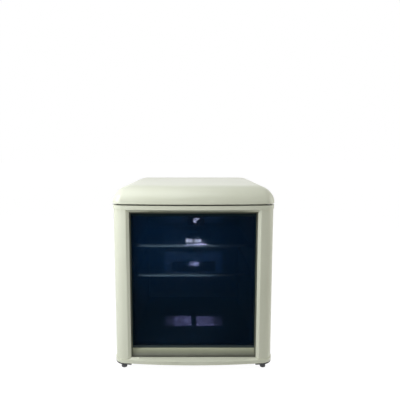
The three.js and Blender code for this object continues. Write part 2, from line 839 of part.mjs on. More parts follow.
const topSeat = topPlateLow + plateThick + fit;
const bottomSeat = plateLow - fit;
const topPin = topSeat - doorHigh + pinReach;
const bottomPin = doorLow + pinReach - bottomSeat;
part('top_hinge_pin', headed([hingeX, hingeDepth], topSeat, -1, pinHead, pinRadius, topPin), 'steel');
part('bottom_hinge_pin', headed([hingeX, hingeDepth], bottomSeat, 1, pinHead, pinRadius, bottomPin), 'steel');

const topScrew = topSeat - (cabinetHigh - sheet);
const bottomScrew = cabinetLow + sheet - bottomSeat;
const screw = (x, depth, seat, up, length) => headed([x, depth], seat, up, screwHead, screwRadius, length);
boltPattern.forEach(([x, depth], index) => {
  const number = index + 1;
  part(`top_hinge_screw_${number}`, screw(x, depth, topSeat, -1, topScrew), 'steel');
  part(`bottom_hinge_screw_${number}`, screw(x, depth, bottomSeat, 1, bottomScrew), 'steel');
  part(`foot_plate_screw_${number}`, screw(-x, depth, bottomSeat, 1, bottomScrew), 'steel');
});
part('front_foot_left', frontFoot(-1), 'rubber');
part('front_foot_right', frontFoot(1), 'rubber');
part('rear_foot_left', rearFoot(-1), 'rubber');
part('rear_foot_right', rearFoot(1), 'rubber');

// -- Door frame --

function doorStile(side) {
  const [low, high] = [bottomCapHigh + fit, topCapLow - fit];
  const [beyond, ahead] = [doorHalf + 5, -5];
  const plan = bowedPlan({
    half: doorHalf,
    front: stileFront,
    corner: stileCorner,
    back: innerPaneBack,
    backCorner: 2,
  });
  const keep = polygon([
    [side * bevelOuterHalf, ahead],
    [side * bevelOuterHalf, bow(bevelOuterHalf, stileFront)],
    [side * bevelInnerHalf, bevelDepth],
    [side * bevelInnerHalf, glassDepth - fit],
    [side * (glassHalf + fit), glassDepth - fit],
    [side * (glassHalf + fit), doorDepth],
    [side * beyond, doorDepth],
    [side * beyond, ahead],
  ]);
  const chamberPlan = bowedPlan({
    half: doorHalf - stileWall,
    front: stileFront + stileWall,
    corner: stileCorner - stileWall,
    back: innerPaneBack - stileWall,
    backCorner: 2,
  });
  const [x0, x1] = ordered(side * (bevelOuterHalf + stileWall), side * beyond);
  const chamber = extrude(polygon(chamberPlan), 'z', low - 1, high + 1)
    .intersect(block(x0, x1, ahead, doorDepth, low - 2, high + 2));
  // Mitres where the stile's bevel meets the bevels of the two rails.
  const mitre = (cap, recess) => extrude(polygon([
    [side * (bevelInnerHalf - 2), recess],
    [side * bevelInnerHalf, recess],
    [side * bevelOuterHalf, cap],
    [side * bevelOuterHalf, 2 * cap - recess],
    [side * (bevelInnerHalf - 2), 2 * cap - recess],
  ]), 'y', ahead, doorDepth);
  const body = extrude(polygon(plan), 'z', low, high).intersect(extrude(keep, 'z', low - 1, high + 1));
  return cut(body, chamber, mitre(high, recessHigh - fit), mitre(low, recessLow + fit));
}

// An end cap: a band right across the door, with a rail whose bevel runs from the bowed
// front to the straight edge of the recess.
function doorCap(outer, inner, recess) {
  const inward = Math.sign(inner - outer);
  const plan = bowedPlan({
    half: doorHalf + capProud,
    front: capFront,
    corner: stileCorner + capProud,
    back: doorDepth,
    backCorner: 3,
  });
  const band = extrude(polygon(plan), 'z', ...ordered(outer, inner));
  const root = inner - 2 * inward;
  const rings = [];
  const stations = 12;
  for (let station = 0; station <= stations; station += 1) {
    const x = bevelOuterHalf * ((2 * station) / stations - 1);
    const profile = [
      [bow(x, capFront), root],
      [bow(x, capFront), inner],
      [bevelDepth, recess],
      [glassDepth - fit, recess],
      [glassDepth - fit, root],
    ];
    rings.push(profile.map(([depth, z]) => new THREE.Vector3(x, depth, z)));
  }
  const ends = polygon([
    [-bevelOuterHalf + fit, root],
    [-bevelOuterHalf + fit, inner],
    [-bevelInnerHalf + fit, recess],
    [bevelInnerHalf - fit, recess],
    [bevelOuterHalf - fit, inner],
    [bevelOuterHalf - fit, root],
  ]);
  const rail = skin(rings).intersect(extrude(ends, 'y', -5, doorDepth));
  const hole = (radius, from, to) => extrude(disc(radius, hingeX, hingeDepth), 'z', ...ordered(from, to), 3);
  const bore = hole(bushRadius + fit, outer - inward, inner + inward);
  const seat = hole(bushRadius + bushFlangeReach + fit, outer - inward, outer + inward * (bushFlange + fit));
  return cut(join(band, rail), bore, seat);
}

function hingeBush(outerFace, inward) {
  const bore = pinRadius + pinClearance;
  const z = (distance) => outerFace + inward * distance;
  const profile = [
    [bore, z(0)],
    [bushRadius + bushFlangeReach, z(0)],
    [bushRadius + bushFlangeReach, z(bushFlange)],
    [bushRadius, z(bushFlange)],
    [bushRadius, z(pinReach)],
    [bore, z(pinReach)],
    [bore, z(0)],
  ];
  return turned(profile, hingeX, hingeDepth, 20);
}

part('door_stile_left', doorStile(-1), 'cream');
part('door_stile_right', doorStile(1), 'cream');
part('door_top_cap', doorCap(doorHigh, topCapLow, recessHigh), 'cream');
part('door_bottom_cap', doorCap(doorLow, bottomCapHigh, recessLow), 'cream');
part('door_bush_top', hingeBush(doorHigh, -1), 'black');
part('door_bush_bottom', hingeBush(doorLow, 1), 'black');

// -- Glazing --

// The view through the recess: it narrows from the bevel to the glass.
function sightHole(inset) {
  const ring = (depth, half, high) => [
    new THREE.Vector3(-half + inset, depth, doorLow),
    new THREE.Vector3(half - inset, depth, doorLow),
    new THREE.Vector3(half - inset, depth, high - inset),
    new THREE.Vector3(-half + inset, depth, high - inset),
  ];
  const edge = 1; // width of the trim's front edge
  return skin([
    ring(bevelDepth, bevelInnerHalf - edge, recessHigh - edge),
    ring(glassDepth, bevelInnerHalf - trimLip, recessHigh - trimTopLip),
  ]);
}

function glassTrim() {
  const outline = rectangle(-bevelInnerHalf + fit, bevelInnerHalf - fit, recessLow + fit, recessHigh - fit);
  return cut(extrude(outline, 'y', bevelDepth + fit, glassDepth - fit), sightHole(0));
}

// The sill rises towards the glass in a hollow curve and ends in a rounded lip.
function doorSill() {
  const [front, back] = [bevelDepth + fit, glassDepth - fit];
  const foot = recessLow + fit;
  const top = recessLow + sillRise;
  const shape = new THREE.Shape();
  shape.moveTo(front, foot);
  shape.lineTo(back, foot);
  shape.lineTo(back, top);
  shape.lineTo(back - sillLip, top);
  shape.quadraticCurveTo(back - 2 * sillLip, top, back - 2.3 * sillLip, top - sillLip);
  shape.quadraticCurveTo(back - 3.3 * sillLip, foot + 0.22 * sillRise, front, foot + sillLip);
  return extrude(shape, 'x', -bevelInnerHalf, bevelInnerHalf, 8).intersect(sightHole(fit));
}

const pane = (front, back) =>
  extrude(rectangle(-glassHalf, glassHalf, glassLow, glassHigh, 2), 'y', front, back);

function glassSpacer() {
  const profile = [[0, spacerFront], [spacerWidth, spacerFront], [spacerWidth, spacerBack], [0, spacerBack]];
  const [low, high] = [glassLow + spacerInset, glassHigh - spacerInset];
  return frameRing(profile, glassHalf - spacerInset, low, high, spacerInset, 2);
}

function displayModule() {
  const back = spacerBack - 1;
  const high = recessHigh - displayDrop;
  const neckTop = glassHigh - spacerInset - spacerWidth - fit;
  const [left, right] = [displayX - displayWidth / 2, displayX + displayWidth / 2];
  return join(
    extrude(rectangle(left, right, high - displayHeight, high, 3), 'y', spacerFront, back),
    block(displayX - displayNeck, displayX + displayNeck, spacerFront, back - 2, high - 1, neckTop),
  );
}

part('glass_trim', glassTrim(), 'trim');
part('door_sill', doorSill(), 'trim');
part('outer_glass', pane(glassDepth, outerPaneBack), 'tintedGlass');
part('glass_spacer', glassSpacer(), 'black');
part('inner_glass', pane(innerPaneFront, innerPaneBack), 'clearGlass');
part('display_module', displayModule(), 'black');

// -- Door back and seal --

function doorBackFrame() {
  const half = doorHalf - backFrameInset;
  const [low, high] = [sealLow + sealWidth, sealHigh - sealWidth];
  const outline = rectangle(-half, half, bottomCapHigh + fit, topCapLow - fit, 3);
  outline.holes.push(rectangle(-backFrameInner, backFrameInner, low, high, 4));
  return extrude(outline, 'y', backFrameFront, doorDepth);
}

// Bellows seal: a foot on the door, a narrow waist and a wide magnetic face.
function doorGasket() {
  const [foot, face] = [doorDepth + fit, cabinetFront - fit];
  const middle = sealWidth / 2;
  const step = (face - foot) / 9.4;
  const half = [
    [0.71 * middle, foot],
    [0.71 * middle, foot + 2 * step],
    [0.36 * middle, foot + 3.4 * step],
    [0.91 * middle, foot + 5 * step],
    [middle, face - 0.8 * step],
    [0.94 * middle, face],
  ];
  const left = half.map(([reach, depth]) => [middle - reach, depth]);
  const right = half.map(([reach, depth]) => [middle + reach, depth]).reverse();
  return frameRing([...left, ...right], sealOuterHalf, sealLow, sealHigh, sealCorner, 3);
}

part('door_back_frame', doorBackFrame(), 'black');
part('door_gasket', doorGasket(), 'rubber');

// -- Shelves --

function shelfPane(level) {
  const half = cavityHalf - shelfSideGap;
  const [front, back] = [shelfFront + shelfTrimDrop, shelfBack - shelfTrimDrop];
  return extrude(rectangle(-half, half, front, back, 4), 'z', level, level + shelfGlass);
}

// A channel that grips the pane's edge, drawn from the outside towards the pane.
function shelfTrim(level, edge, inward, rise) {
  const slotEnd = edge + inward * (shelfTrimDrop - fit);
  const inner = edge + inward * shelfTrimDepth;
  const low = level - shelfTrimDrop;
  const round = inward * 2;
  const shape = new THREE.Shape();
  shape.moveTo(edge + round, low);
  shape.lineTo(inner, low);
  shape.lineTo(inner, level - fit);
  shape.lineTo(slotEnd, level - fit);
  shape.lineTo(slotEnd, level + shelfGlass + fit);
  shape.lineTo(inner, level + shelfGlass + fit);
  shape.lineTo(inner - round, level + shelfGlass + fit + 1.4);
  shape.lineTo(edge + 2 * round, low + rise);
  shape.quadraticCurveTo(edge, low + rise, edge, low + rise - 2);
  shape.lineTo(edge, low + 2);
  shape.quadraticCurveTo(edge, low, edge + round, low);
  const half = cavityHalf - shelfTrimInset;
  return extrude(shape, 'x', -half, half, 4);
}

for (const [name, level] of Object.entries(shelfHeights)) {
  part(`${name}_shelf_glass`, shelfPane(level), 'clearGlass');
  part(`${name}_shelf_front_trim`, shelfTrim(level, shelfFront, 1, shelfTrimHeight), 'steel');
  part(`${name}_shelf_rear_trim`, shelfTrim(level, shelfBack, -1, shelfTrimHeight * 2), 'steel');
}

// -- Cooling unit --

// Heat sink: a base with a comb of fins, an extruded section as tall as it is wanted.
function finnedSink(half, baseFace, finTip, fins) {
  const root = baseFace + Math.sign(finTip - baseFace) * sinkBase;
  const pitch = (2 * half - finThick) / (fins - 1);
  const points = [[half, baseFace], [-half, baseFace]];
  for (let fin = 0; fin < fins; fin += 1) {
    const x = -half + fin * pitch;
    points.push([x, fin === 0 ? finTip : root]);
    if (fin > 0) points.push([x, finTip]);
    points.push([x + finThick, finTip]);
    if (fin < fins - 1) points.push([x + finThick, root]);
  }
  return extrude(polygon(points), 'z', fanHeight - half, fanHeight + half);
}

// Square fan housing with a round duct, corner holes, and a hub held by four struts.
function fanFrame(half, bore, front, back) {
  const outline = rectangle(-half, half, fanHeight - half, fanHeight + half, fanHoleInset);
  const hole = half - fanHoleInset;
  for (const [sideX, sideZ] of [[1, 1], [-1, 1], [-1, -1], [1, -1]]) {
    outline.holes.push(disc(fanHole, sideX * hole, fanHeight + sideZ * hole));
  }
  const duct = extrude(disc(bore, 0, fanHeight), 'y', front - 1, back + 1, 3);
  const frame = cut(extrude(outline, 'y', front, back, 1), duct);
  const hub = extrude(disc(fanHub, 0, fanHeight), 'y', back - strutDepth, back);
  const struts = [0, 1, 2, 3].map((quarter) => {
    const shape = rectangle(fanHub - 2, bore + 1, -strutDepth / 2, strutDepth / 2);
    const geometry = new THREE.ExtrudeGeometry(shape, { depth: strutDepth, bevelEnabled: false });
    geometry.rotateX(Math.PI / 2).rotateY(Math.PI / 4 + quarter * (Math.PI / 2));
    return toSolid(geometry.translate(0, back, fanHeight));
  });
  const radius = shaftRadius + shaftClearance;
  const bearing = extrude(disc(radius, 0, fanHeight), 'y', back - strutDepth - 1, back - 1, 1);
  return cut(join(frame, hub, ...struts), bearing);
}

// A twisted blade from hub to tip. Each section lies on a cylinder about the fan's axis.
function fanBlade(tip, middle, turn) {
  const sections = 3;
  const rings = [];
  for (let section = 0; section <= sections; section += 1) {
    const share = section / sections;
    const radius = fanHub - 1.5 + (tip - fanHub + 1.5) * share;
    const chord = bladeRoot + (bladeTip - bladeRoot) * share;
    const pitch = THREE.MathUtils.degToRad(bladeRootPitch + (bladeTipPitch - bladeRootPitch) * share);
    const outline = [[-0.5, 0], [-0.2, 0.9], [0.2, 0.9], [0.5, 0], [0, -0.2]];
    rings.push(outline.map(([along, height]) => {
      const [run, lift] = [along * chord, height * bladeThick];
      const tangent = run * Math.cos(pitch) - lift * Math.sin(pitch);
      const depth = run * Math.sin(pitch) + lift * Math.cos(pitch);
      const angle = turn + tangent / radius + share * bladeSweep;
      const [x, z] = [radius * Math.sin(angle), radius * Math.cos(angle)];
      return new THREE.Vector3(x, middle + depth, fanHeight + z);
    }));
  }
  return skin(rings);
}

function fanRotor(bore, front, back) {
  const tip = bore - tipClearance;
  const hubFront = front + 1;
  const hubBack = back - strutDepth - 2 * fit;
  const shaftEnd = back - strutDepth / 2;
  const round = 0.15 * fanHub;
  const profile = [
    [0, hubFront],
    [fanHub - 2 * round, hubFront],
    [fanHub, hubFront + round],
    [fanHub, hubBack],
    [shaftRadius, hubBack],
    [shaftRadius, shaftEnd],
    [0, shaftEnd],
  ];
  const points = profile.map(([radius, depth]) => new THREE.Vector2(radius, depth));
  const hub = toSolid(new THREE.LatheGeometry(points, 16).translate(0, 0, fanHeight));
  const middle = (hubFront + hubBack) / 2;
  const blades = Array.from({ length: bladeCount }, (_, blade) =>
    fanBlade(tip, middle, (2 * Math.PI * blade) / bladeCount),
  );
  return join(hub, ...blades);
}

// Two ceramic plates with the row of semiconductor legs between them.
function peltierModule() {
  const [front, back] = [coldBase + fit, coldBase + fit + peltierThick];
  const plate = (from, to, half) => block(-half, half, from, to, fanHeight - half, fanHeight + half);
  const face = peltierThick / 4;
  const legs = plate(front + 0.9 * face, back - 0.9 * face, 0.92 * peltierHalf);
  return join(plate(front, front + face, peltierHalf), legs, plate(back - face, back, peltierHalf));
}

part('inner_fan_frame', fanFrame(innerFanHalf, innerFanBore, innerFanFront, innerFanBack), 'black');
part('inner_fan_rotor', fanRotor(innerFanBore, innerFanFront, innerFanBack), 'black');
part('cold_sink', finnedSink(coldSinkHalf, coldBase, innerFanBack + fit, coldFins), 'aluminium');
part('peltier_module', peltierModule(), 'ceramic');
part('hot_sink', finnedSink(hotSinkHalf, hotFace, hotTip, hotFins), 'aluminium');
part('outer_fan_frame', fanFrame(outerFanHalf, outerFanBore, outerFanFront, outerFanBack), 'black');
part('outer_fan_rotor', fanRotor(outerFanBore, outerFanFront, outerFanBack), 'black');

// -- Air duct and lamp in the cavity --

function ductCover() {
  const [half, low, high] = [ductHalf - ductWall, ductLow + ductWall, ductHigh - ductWall];
  const [before, behind] = [ductFront - 1, ductFront + ductWall + 1];
  const slots = [];
  for (let row = -ductSlot.rows; row <= ductSlot.rows; row += 1) {
    const rise = row * ductSlot.pitch;
    const reach = Math.sqrt(innerFanBore ** 2 - rise ** 2);
    const [bottom, top] = [fanHeight + rise - ductSlot.half, fanHeight + rise + ductSlot.half];
    slots.push(extrude(rectangle(-reach, reach, bottom, top, ductSlot.corner), 'y', before, behind, 1));
  }
  const outer = rectangle(-ductHalf, ductHalf, ductLow, ductHigh, ductCorner);
  const hollow = rectangle(-half, half, low, high, ductCorner - ductWall);
  const outlet = rectangle(-outletHalf, outletHalf, outletLow, outletHigh, 4);
  return cut(
    extrude(outer, 'y', ductFront, cavityBack - fit),
    extrude(hollow, 'y', ductFront + ductWall, cavityBack + 1),
    extrude(outlet, 'y', before, behind),
    ...slots,
  );
}

// Outlet grille: a bezel on the duct cover with slanted vanes.
function outletLouvre() {
  const [half, low, high] = [outletHalf - fit, outletLow + fit, outletHigh - fit];
  const rim = louvreRim;
  const opening = rectangle(-half + rim, half - rim, low + rim, high - rim, 2);
  const bezel = cut(
    extrude(rectangle(-half, half, low, high, 3.5), 'y', ductFront, ductFront + louvreDepth),
    extrude(opening, 'y', ductFront - 1, ductFront + louvreDepth + 1, 1),
  );
  const [front, back] = [ductFront + 0.5, ductFront + louvreDepth - 1];
  const reach = half - rim / 2;
  const vanes = Array.from({ length: louvreVanes }, (_, vane) => {
    const z = low + ((high - low) * (vane + 1)) / (louvreVanes + 1);
    const section = [[front, z - 2.6], [back, z + 1.2], [back, z + 2.6], [front, z - 1.2]];
    return extrude(polygon(section), 'x', -reach, reach);
  });
  const posts = [-half / 3, half / 3].map((x) =>
    block(x - 1, x + 1, front + 0.5, back - 1, low + 1, high - 1),
  );
  return join(bezel, ...vanes, ...posts);
}

// Side edges of one of the lamp's two windows.
const windowSides = (side, inset) =>
  ordered(side * (lampGap / 2 + inset), side * (lampGap / 2 + lampWindow - inset));

function lampHousing() {
  const [front, back] = [ductFront - fit - lampDepth, ductFront - fit];
  const windows = [-1, 1].map((side) => {
    const [x0, x1] = windowSides(side, 0);
    const reach = lampWindowHeight / 2;
    const outline = rectangle(x0, x1, lampHeight - reach, lampHeight + reach, 1.5);
    return extrude(outline, 'y', front - 1, front + lampPocket);
  });
  const half = lampGap / 2 + lampWindow + lampRim;
  const reach = lampWindowHeight / 2 + lampRim;
  const body = extrude(rectangle(-half, half, lampHeight - reach, lampHeight + reach, 3), 'y', front, back);
  return cut(body, ...windows);
}

function lampLens(side) {
  const front = ductFront - fit - lampDepth;
  const [x0, x1] = windowSides(side, fit);
  const reach = lampWindowHeight / 2 - fit;
  const outline = rectangle(x0, x1, lampHeight - reach, lampHeight + reach, 1.2);
  return extrude(outline, 'y', front + fit, front + lampPocket - fit);
}

part('duct_cover', ductCover(), 'black');
part('outlet_louvre', outletLouvre(), 'black');
part('lamp_housing', lampHousing(), 'black');
part('lamp_lens_left', lampLens(-1), 'lamp');
part('lamp_lens_right', lampLens(1), 'lamp');

// -- Rear cover, inlet and board --

// Service cover with a bulged fan guard of rings and spokes, and slots for the intake.
function rearCover() {
  const [face, back] = [cabinetBack + fit, overallDepth];
  const lap = coverLap;
  const outline = rectangle(-bayHalf - lap, bayHalf + lap, bayLow - lap, bayHigh + lap, coverCorner);
  outline.holes.push(rectangle(-inletHalf - fit, inletHalf + fit, inletLow - fit, inletHigh + fit, 3));
  const guardRadius = outerFanBore + guardWire;
  const rows = [
    [fanHeight + guardRadius + slot.gap, 1],
    [fanHeight - guardRadius - slot.gap, -1],
    [inletHigh + 3 * slot.gap, 1],
  ];
  for (const [start, way] of rows) {
    for (let column = -slot.columns; column <= slot.columns; column += 1) {
      const [x, half] = [column * slot.pitch, slot.width / 2];
      const [low, high] = ordered(start, start + way * slot.length);
      outline.holes.push(polygon([
        [x - half, low + half],
        [x, low],
        [x + half, low + half],
        [x + half, high - half],
        [x, high],
        [x - half, high - half],
      ]));
    }
  }
  const opening = extrude(disc(outerFanBore, 0, fanHeight), 'y', face - 1, face + coverThick + 1, 3);
  const plate = cut(extrude(outline, 'y', face, face + coverThick, 1), opening);
  const ring = (outer, from, segments = 2) => {
    const shape = disc(outer, 0, fanHeight);
    shape.holes.push(disc(outer - guardWire, 0, fanHeight));
    return extrude(shape, 'y', from, back, segments);
  };
  const wireFront = back - guardWire;
  const hub = extrude(disc(guardHub, 0, fanHeight), 'y', wireFront, back);
  const rings = [1, 2, 3].map((turn) => ring(guardHub + turn * guardPitch, wireFront));
  const spokes = Array.from({ length: 6 }, (_, spoke) => {
    const length = outerFanBore + guardWire / 2 - guardHub / 2;
    const geometry = new THREE.BoxGeometry(length, guardWire, guardWire);
    geometry.translate((guardHub + length) / 2, 0, 0).rotateY((spoke * Math.PI) / 3);
    return toSolid(geometry.translate(0, back - guardWire / 2, fanHeight));
  });
  const bosses = [boardLow, boardHigh].flatMap((z) => [-boardHalf, boardHalf].map((x) =>
    extrude(disc(bossRadius, x, z), 'y', boardBack + fit, face + 1, 1)));
  return join(plate, ring(guardRadius, face, 3), hub, ...rings, ...spokes, ...bosses);
}

// Mains inlet: flange, shroud and three flat pins.
function powerInlet() {
  const face = cabinetBack + fit + coverThick + fit;
  const wall = inletWall;
  const shroud = rectangle(-inletHalf, inletHalf, inletLow, inletHigh, 2.5);
  const flange = rectangle(-inletHalf - inletFlange, inletHalf + inletFlange, inletLow - 3, inletHigh + 3, 4);
  const cavity = rectangle(-inletHalf + wall, inletHalf - wall, inletLow + wall, inletHigh - wall, 2);
  const centre = (inletLow + inletHigh) / 2;
  const { half, height, length, spread, rise } = inletPin;
  const floor = face - inletDepth;
  const pins = [[-spread, -rise], [0, rise], [spread, -rise]].map(([x, lift]) =>
    block(x - half, x + half, floor - 1, floor - 1 + length, centre + lift - height, centre + lift + height),
  );
  const body = join(extrude(shroud, 'y', floor - 3, face + 0.5), extrude(flange, 'y', face, face + 2));
  return join(cut(body, extrude(cavity, 'y', floor, face + 3)), ...pins);
}

// Circuit board with transformer, capacitors and a terminal block on its inner side.
function controlBoard() {
  const half = boardHalf + boardMargin;
  const low = boardLow - boardMargin;
  const front = boardBack - boardThick;
  const body = (x0, x1, height, z0, z1) =>
    block(x0, x1, front - height, front + 0.5, low + z0, low + z1);
  const capacitors = [-8, 8].map((x) => extrude(disc(6, x, low + 22), 'y', front - 16, front + 0.5));
  return join(
    extrude(rectangle(-half, half, low, boardHigh + boardMargin, 2), 'y', front, boardBack),
    body(8 - half, 42 - half, 20, 14, 46),
    body(half - 40, half - 10, 9, 12, 22),
    ...capacitors,
  );
}

part('rear_cover', rearCover(), 'black');
part('power_inlet', powerInlet(), 'black');
part('control_board', controlBoard(), 'board');

export default fridge;
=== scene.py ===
import json
import math

import bmesh
import bpy
from bpy.props import FloatProperty, FloatVectorProperty, IntProperty, PointerProperty
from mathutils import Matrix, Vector


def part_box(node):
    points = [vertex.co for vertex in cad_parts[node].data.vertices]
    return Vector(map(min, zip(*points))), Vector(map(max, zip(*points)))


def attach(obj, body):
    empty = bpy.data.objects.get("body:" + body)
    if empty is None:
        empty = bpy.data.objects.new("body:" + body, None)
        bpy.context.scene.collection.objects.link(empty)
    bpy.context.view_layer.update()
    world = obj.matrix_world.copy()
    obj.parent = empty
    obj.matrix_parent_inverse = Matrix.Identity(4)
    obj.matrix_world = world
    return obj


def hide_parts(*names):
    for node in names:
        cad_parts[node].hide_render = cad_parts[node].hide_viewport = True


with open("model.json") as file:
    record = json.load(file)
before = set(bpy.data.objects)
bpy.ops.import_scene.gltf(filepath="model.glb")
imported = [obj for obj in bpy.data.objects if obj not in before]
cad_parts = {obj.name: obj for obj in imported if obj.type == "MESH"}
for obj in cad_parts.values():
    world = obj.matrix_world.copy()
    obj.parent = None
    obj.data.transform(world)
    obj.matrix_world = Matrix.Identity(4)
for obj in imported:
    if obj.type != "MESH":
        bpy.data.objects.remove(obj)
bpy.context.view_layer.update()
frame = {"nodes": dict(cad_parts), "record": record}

bl_info = {
    "name": "Mini fridge",
    "version": (1, 0, 0),
    "blender": (4, 5, 0),
    "location": "3D View > Sidebar > Mini fridge",
    "description": "Dresses a compact glass-door refrigerator in paint, glass, plastic and metal",
    "category": "Object",
}

MEMBERS = frame["record"]["behaviour"]["bodies"]


def body_of(node):
    """The body that a node belongs to."""
    return next(body for body, members in MEMBERS.items() if node in members)


# ---- Sizes and colours that a user may change ----


def colour(name, default, description):
    return FloatVectorProperty(
        name=name, description=description, default=default, subtype="COLOR", size=3, min=0, max=1
    )


def power(name, default, description):
    return FloatProperty(
        name=name, description=description, default=default, min=0, unit="POWER"
    )


def length(name, default, description, least=0.0):
    return FloatProperty(
        name=name, description=description, default=default, min=least, unit="LENGTH"
    )


def strength(name, default, description):
    return FloatProperty(name=name, description=description, default=default, min=0)


class EnamelSettings(bpy.types.PropertyGroup):
    """Cream enamel on the cabinet, the lid and the door frame."""

    cream: colour("Cream", (0.735, 0.750, 0.590), "Colour of the enamelled steel panels")
    lid_cream: colour("Lid cream", (0.745, 0.760, 0.600), "Colour of the moulded lid and end caps")
    trim: colour("Glazing trim", (0.150, 0.158, 0.110), "Colour of the olive trim around the glass")
    roughness: FloatProperty(
        name="Roughness", description="Roughness of the enamel", default=0.30, min=0, max=1
    )
    orange_peel: length("Orange peel", 0.00002, "Height of the enamel's waviness")
    edge: length("Edge radius", 0.0009, "Radius of the moulded edges", 0.0001)


class GlazingSettings(bpy.types.PropertyGroup):
    """Tinted outer pane, clear inner pane and glass shelves."""

    tint: colour("Tint", (0.0005, 0.0066, 0.0180), "Colour of the tinted outer pane")
    # Painted reflection: the bluer colour laid over the pane's upper part.
    reflection_tint: colour("Painted reflection", (0.0008, 0.0150, 0.0500), "Colour of its upper part")
    cover: FloatProperty(
        name="Cover", description="Share of the light that the tinted pane keeps back",
        default=0.60, min=0, max=1, subtype="FACTOR",
    )
    shelf_tint: colour("Shelf tint", (0.006, 0.014, 0.016), "Colour of the glass shelves")


class CavitySettings(bpy.types.PropertyGroup):
    """Dark moulded cavity and its lamp."""

    liner: colour("Liner", (0.003, 0.0065, 0.010), "Colour of the moulded cavity")
    # The duct cover is lighter and bluer than the liner as painted light.
    cover: colour("Duct cover", (0.018, 0.070, 0.200), "Colour of the cover over the air duct")
    lamp: colour("Lamp", (0.66, 0.72, 1.0), "Colour of the lamp's light")
    lamp_strength: strength("Lamp strength", 15.5, "Brightness of the lamp's lenses")
    beam: power("Beam", 2.1, "Power of the light that falls on the cavity's floor")
    wash: power("Wash", 0.26, "Power of the light on the upper shelf's front edge")
    gleam: power("Gleam", 0.30, "Power of the light that catches the air outlet")
    daylight: power("Daylight", 1.7, "Power of the room's light that comes in through the door")


class DisplaySettings(bpy.types.PropertyGroup):
    """Temperature shown behind the glass."""

    temperature: IntProperty(
        name="Temperature", description="Two digits shown by the display", default=12, min=0, max=99
    )
    digit_height: length("Digit height", 0.0115, "Height of a digit", 0.004)
    glow: colour("Glow", (0.62, 0.66, 1.0), "Colour of the lit segments")
    glow_strength: strength("Glow strength", 8.0, "Brightness of the lit segments")


class StudioSettings(bpy.types.PropertyGroup):
    """Floor, lamps and camera of the studio."""

    backdrop: colour("Floor", (0.52, 0.52, 0.51), "Colour of the studio floor")
    key: power("Key light", 10.7, "Power of the soft light on the left")
    left: power("Left light", 1.6, "Power of the low light on the left")
    front: power("Front light", 3.6, "Power of the soft light above the front")
    low: power("Low light", 2.0, "Power of the low light in front")
    side: power("Side light", 7.1, "Power of the soft light on the right")
    top: power("Top light", 2.6, "Power of the soft light overhead")
    back: power("Back light", 9.0, "Power of the soft light behind")
    ambient: strength("Ambient", 0.12, "Strength of the light from all sides")
    camera_distance: length("Camera distance", 1.299, "Camera to the middle of the object", 0.5)
    camera_height: length("Camera height", 0.601, "Height of the camera")


class MiniFridgeSettings(bpy.types.PropertyGroup):
    """All the settings of the refrigerator."""

    enamel: PointerProperty(type=EnamelSettings)
    glazing: PointerProperty(type=GlazingSettings)
    cavity: PointerProperty(type=CavitySettings)
    display: PointerProperty(type=DisplaySettings)
    studio: PointerProperty(type=StudioSettings)


def settings():
    return bpy.context.scene.mini_fridge


# ---- Material building ----

WHITE = (1.0, 1.0, 1.0, 1.0)
DUST = (0.42, 0.40, 0.34)


